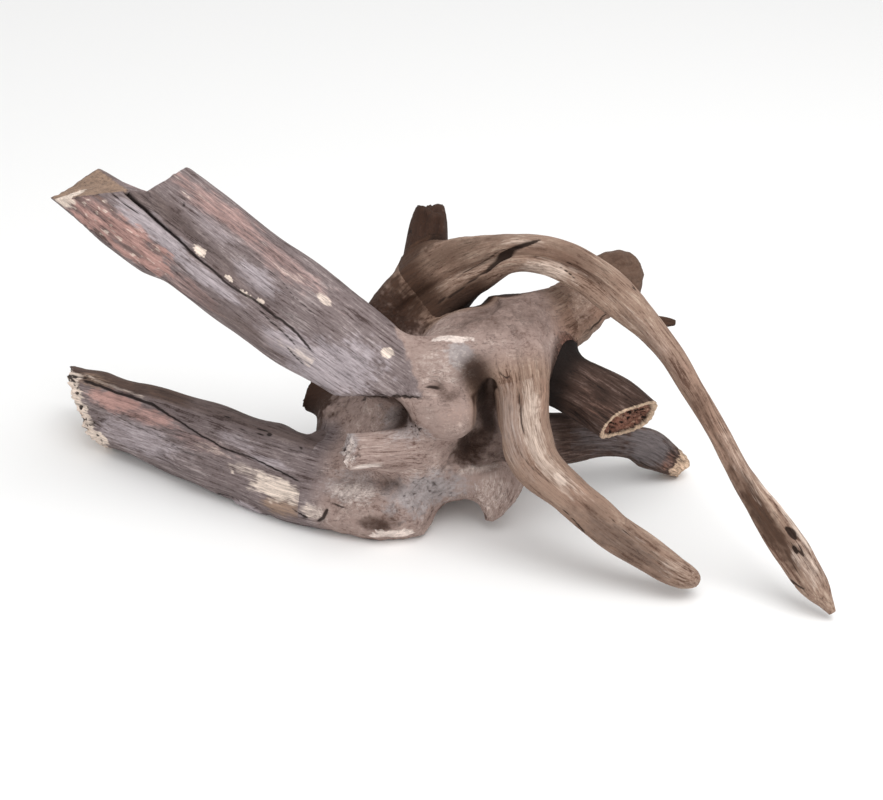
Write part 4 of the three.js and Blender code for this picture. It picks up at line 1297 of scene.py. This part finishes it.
# Painted shade on the back and towards the crown, behind the front root, with a darker patch.
dusk = np.maximum.reduce([
    0.5 * behind(grid, 1.5, 2.3), 0.9 * (1 - smooth(30, 46, grid.distance)),
    0.5 * patch(grid, 56, -14, 7, 4, 0.6),
]) * (1 - inside)
# Painted deep shade towards the crown.
deep = 0.85 * (1 - smooth(28, 46, grid.distance))
put_limb("hollow_stub", grid, carving, dark_wood, "dark_wood", pale=pale, ruddy=ruddy, dusk=dusk, deep=deep)


# Low root
# The low charcoal-grey root at the right, behind the front root. It is pinched behind its last bulge and ends
# in a pale broken tip.
fork = forks["low_root"]
low = lengthened(fork, [[152.5, 61, 9.5, 8.8, 8], [161, 61, 4, 5.5, 6]])


def broken_off_low_root(forward, sideways):
    """Three shallow bites out of the tip."""
    return 1.5 + 1.5 * (3 * forward**2 * sideways - sideways**3)


grid = along_limb(low, 0.6, broken_off_low_root, face_rows=14)
carving = carved(grid, 0.85, 0.8)
tip = smooth(96.5, 99.5, grid.distance + 8 * grid.edge)
carving.height += tip * 0.6 * noise(grid.points / 2.4, 98)
silver = patches(grid, [(0.9, 78, -4, 16, 12, 0.6), (0.6, 48, 0, 22, 9, 0.7)])
ruddy = np.maximum(0.4 * patch(grid, 93, 5, 4, 8, 0.6), 0.4 * tip)
dusk = 0.3 * behind(grid, 1.5, 2.3)
pale = 0.6 * tip
put_limb("low_root", grid, carving, dark_wood, "dark_wood", silver=silver, pale=pale, ruddy=ruddy, dusk=dusk)


# Floor, light and camera
# A plain pale floor, a wide soft light above and a camera on the photograph's side, 30 degrees up.
FLOOR_HALF = 6
LIT_MIDDLE = (0.02, 0.03, 0.07)
LENS = 69.23
SENSOR_WIDTH = 36
CAMERA_DISTANCE = 0.9
TARGET = np.array((0.0246, 0.030, 0.0665))

floor_mesh = bpy.data.meshes.new("floor")
floor_corners = [(x * FLOOR_HALF, y * FLOOR_HALF, 0) for x, y in ((-1, -1), (1, -1), (1, 1), (-1, 1))]
floor_mesh.from_pydata(floor_corners, [], [(0, 1, 2, 3)])
floor = bpy.data.objects.new("floor", floor_mesh)
bpy.context.scene.collection.objects.link(floor)
paper = bpy.data.materials.new("pale paper")
paper.use_nodes = True
paper.node_tree.nodes["Principled BSDF"].inputs["Base Color"].default_value = (0.92, 0.92, 0.915, 1)
paper.node_tree.nodes["Principled BSDF"].inputs["Roughness"].default_value = 0.9
floor_mesh.materials.append(paper)

world = bpy.data.worlds.new("studio")
world.use_nodes = True
world.node_tree.nodes["Background"].inputs["Color"].default_value = (1, 1, 1, 1)
world.node_tree.nodes["Background"].inputs["Strength"].default_value = 0.85
bpy.context.scene.world = world
bpy.context.scene.view_settings.view_transform = "Standard"


def lamp(name, place, size, power):
    """A square soft light that faces the middle of the wood."""
    data = bpy.data.lights.new(name, "AREA")
    data.size = size
    data.energy = power
    light = bpy.data.objects.new(name, data)
    across, up_the_page, up = np.array(place) - LIT_MIDDLE
    light.location = place
    tilt = np.arctan2(np.hypot(across, up_the_page), up)
    light.rotation_euler = (tilt, 0, np.arctan2(up_the_page, across) + np.pi / 2)
    bpy.context.scene.collection.objects.link(light)


lamp("overhead", (0.35, -0.35, 1.1), 0.9, 8)

camera = bpy.data.objects.new("camera", bpy.data.cameras.new("camera"))
camera.data.lens = LENS
camera.data.sensor_width = SENSOR_WIDTH
camera.data.clip_end = 20
camera.location = TARGET + CAMERA_DISTANCE * FRONT
camera.rotation_euler = (np.radians(60), 0, 0)
bpy.context.scene.collection.objects.link(camera)
bpy.context.scene.camera = camera
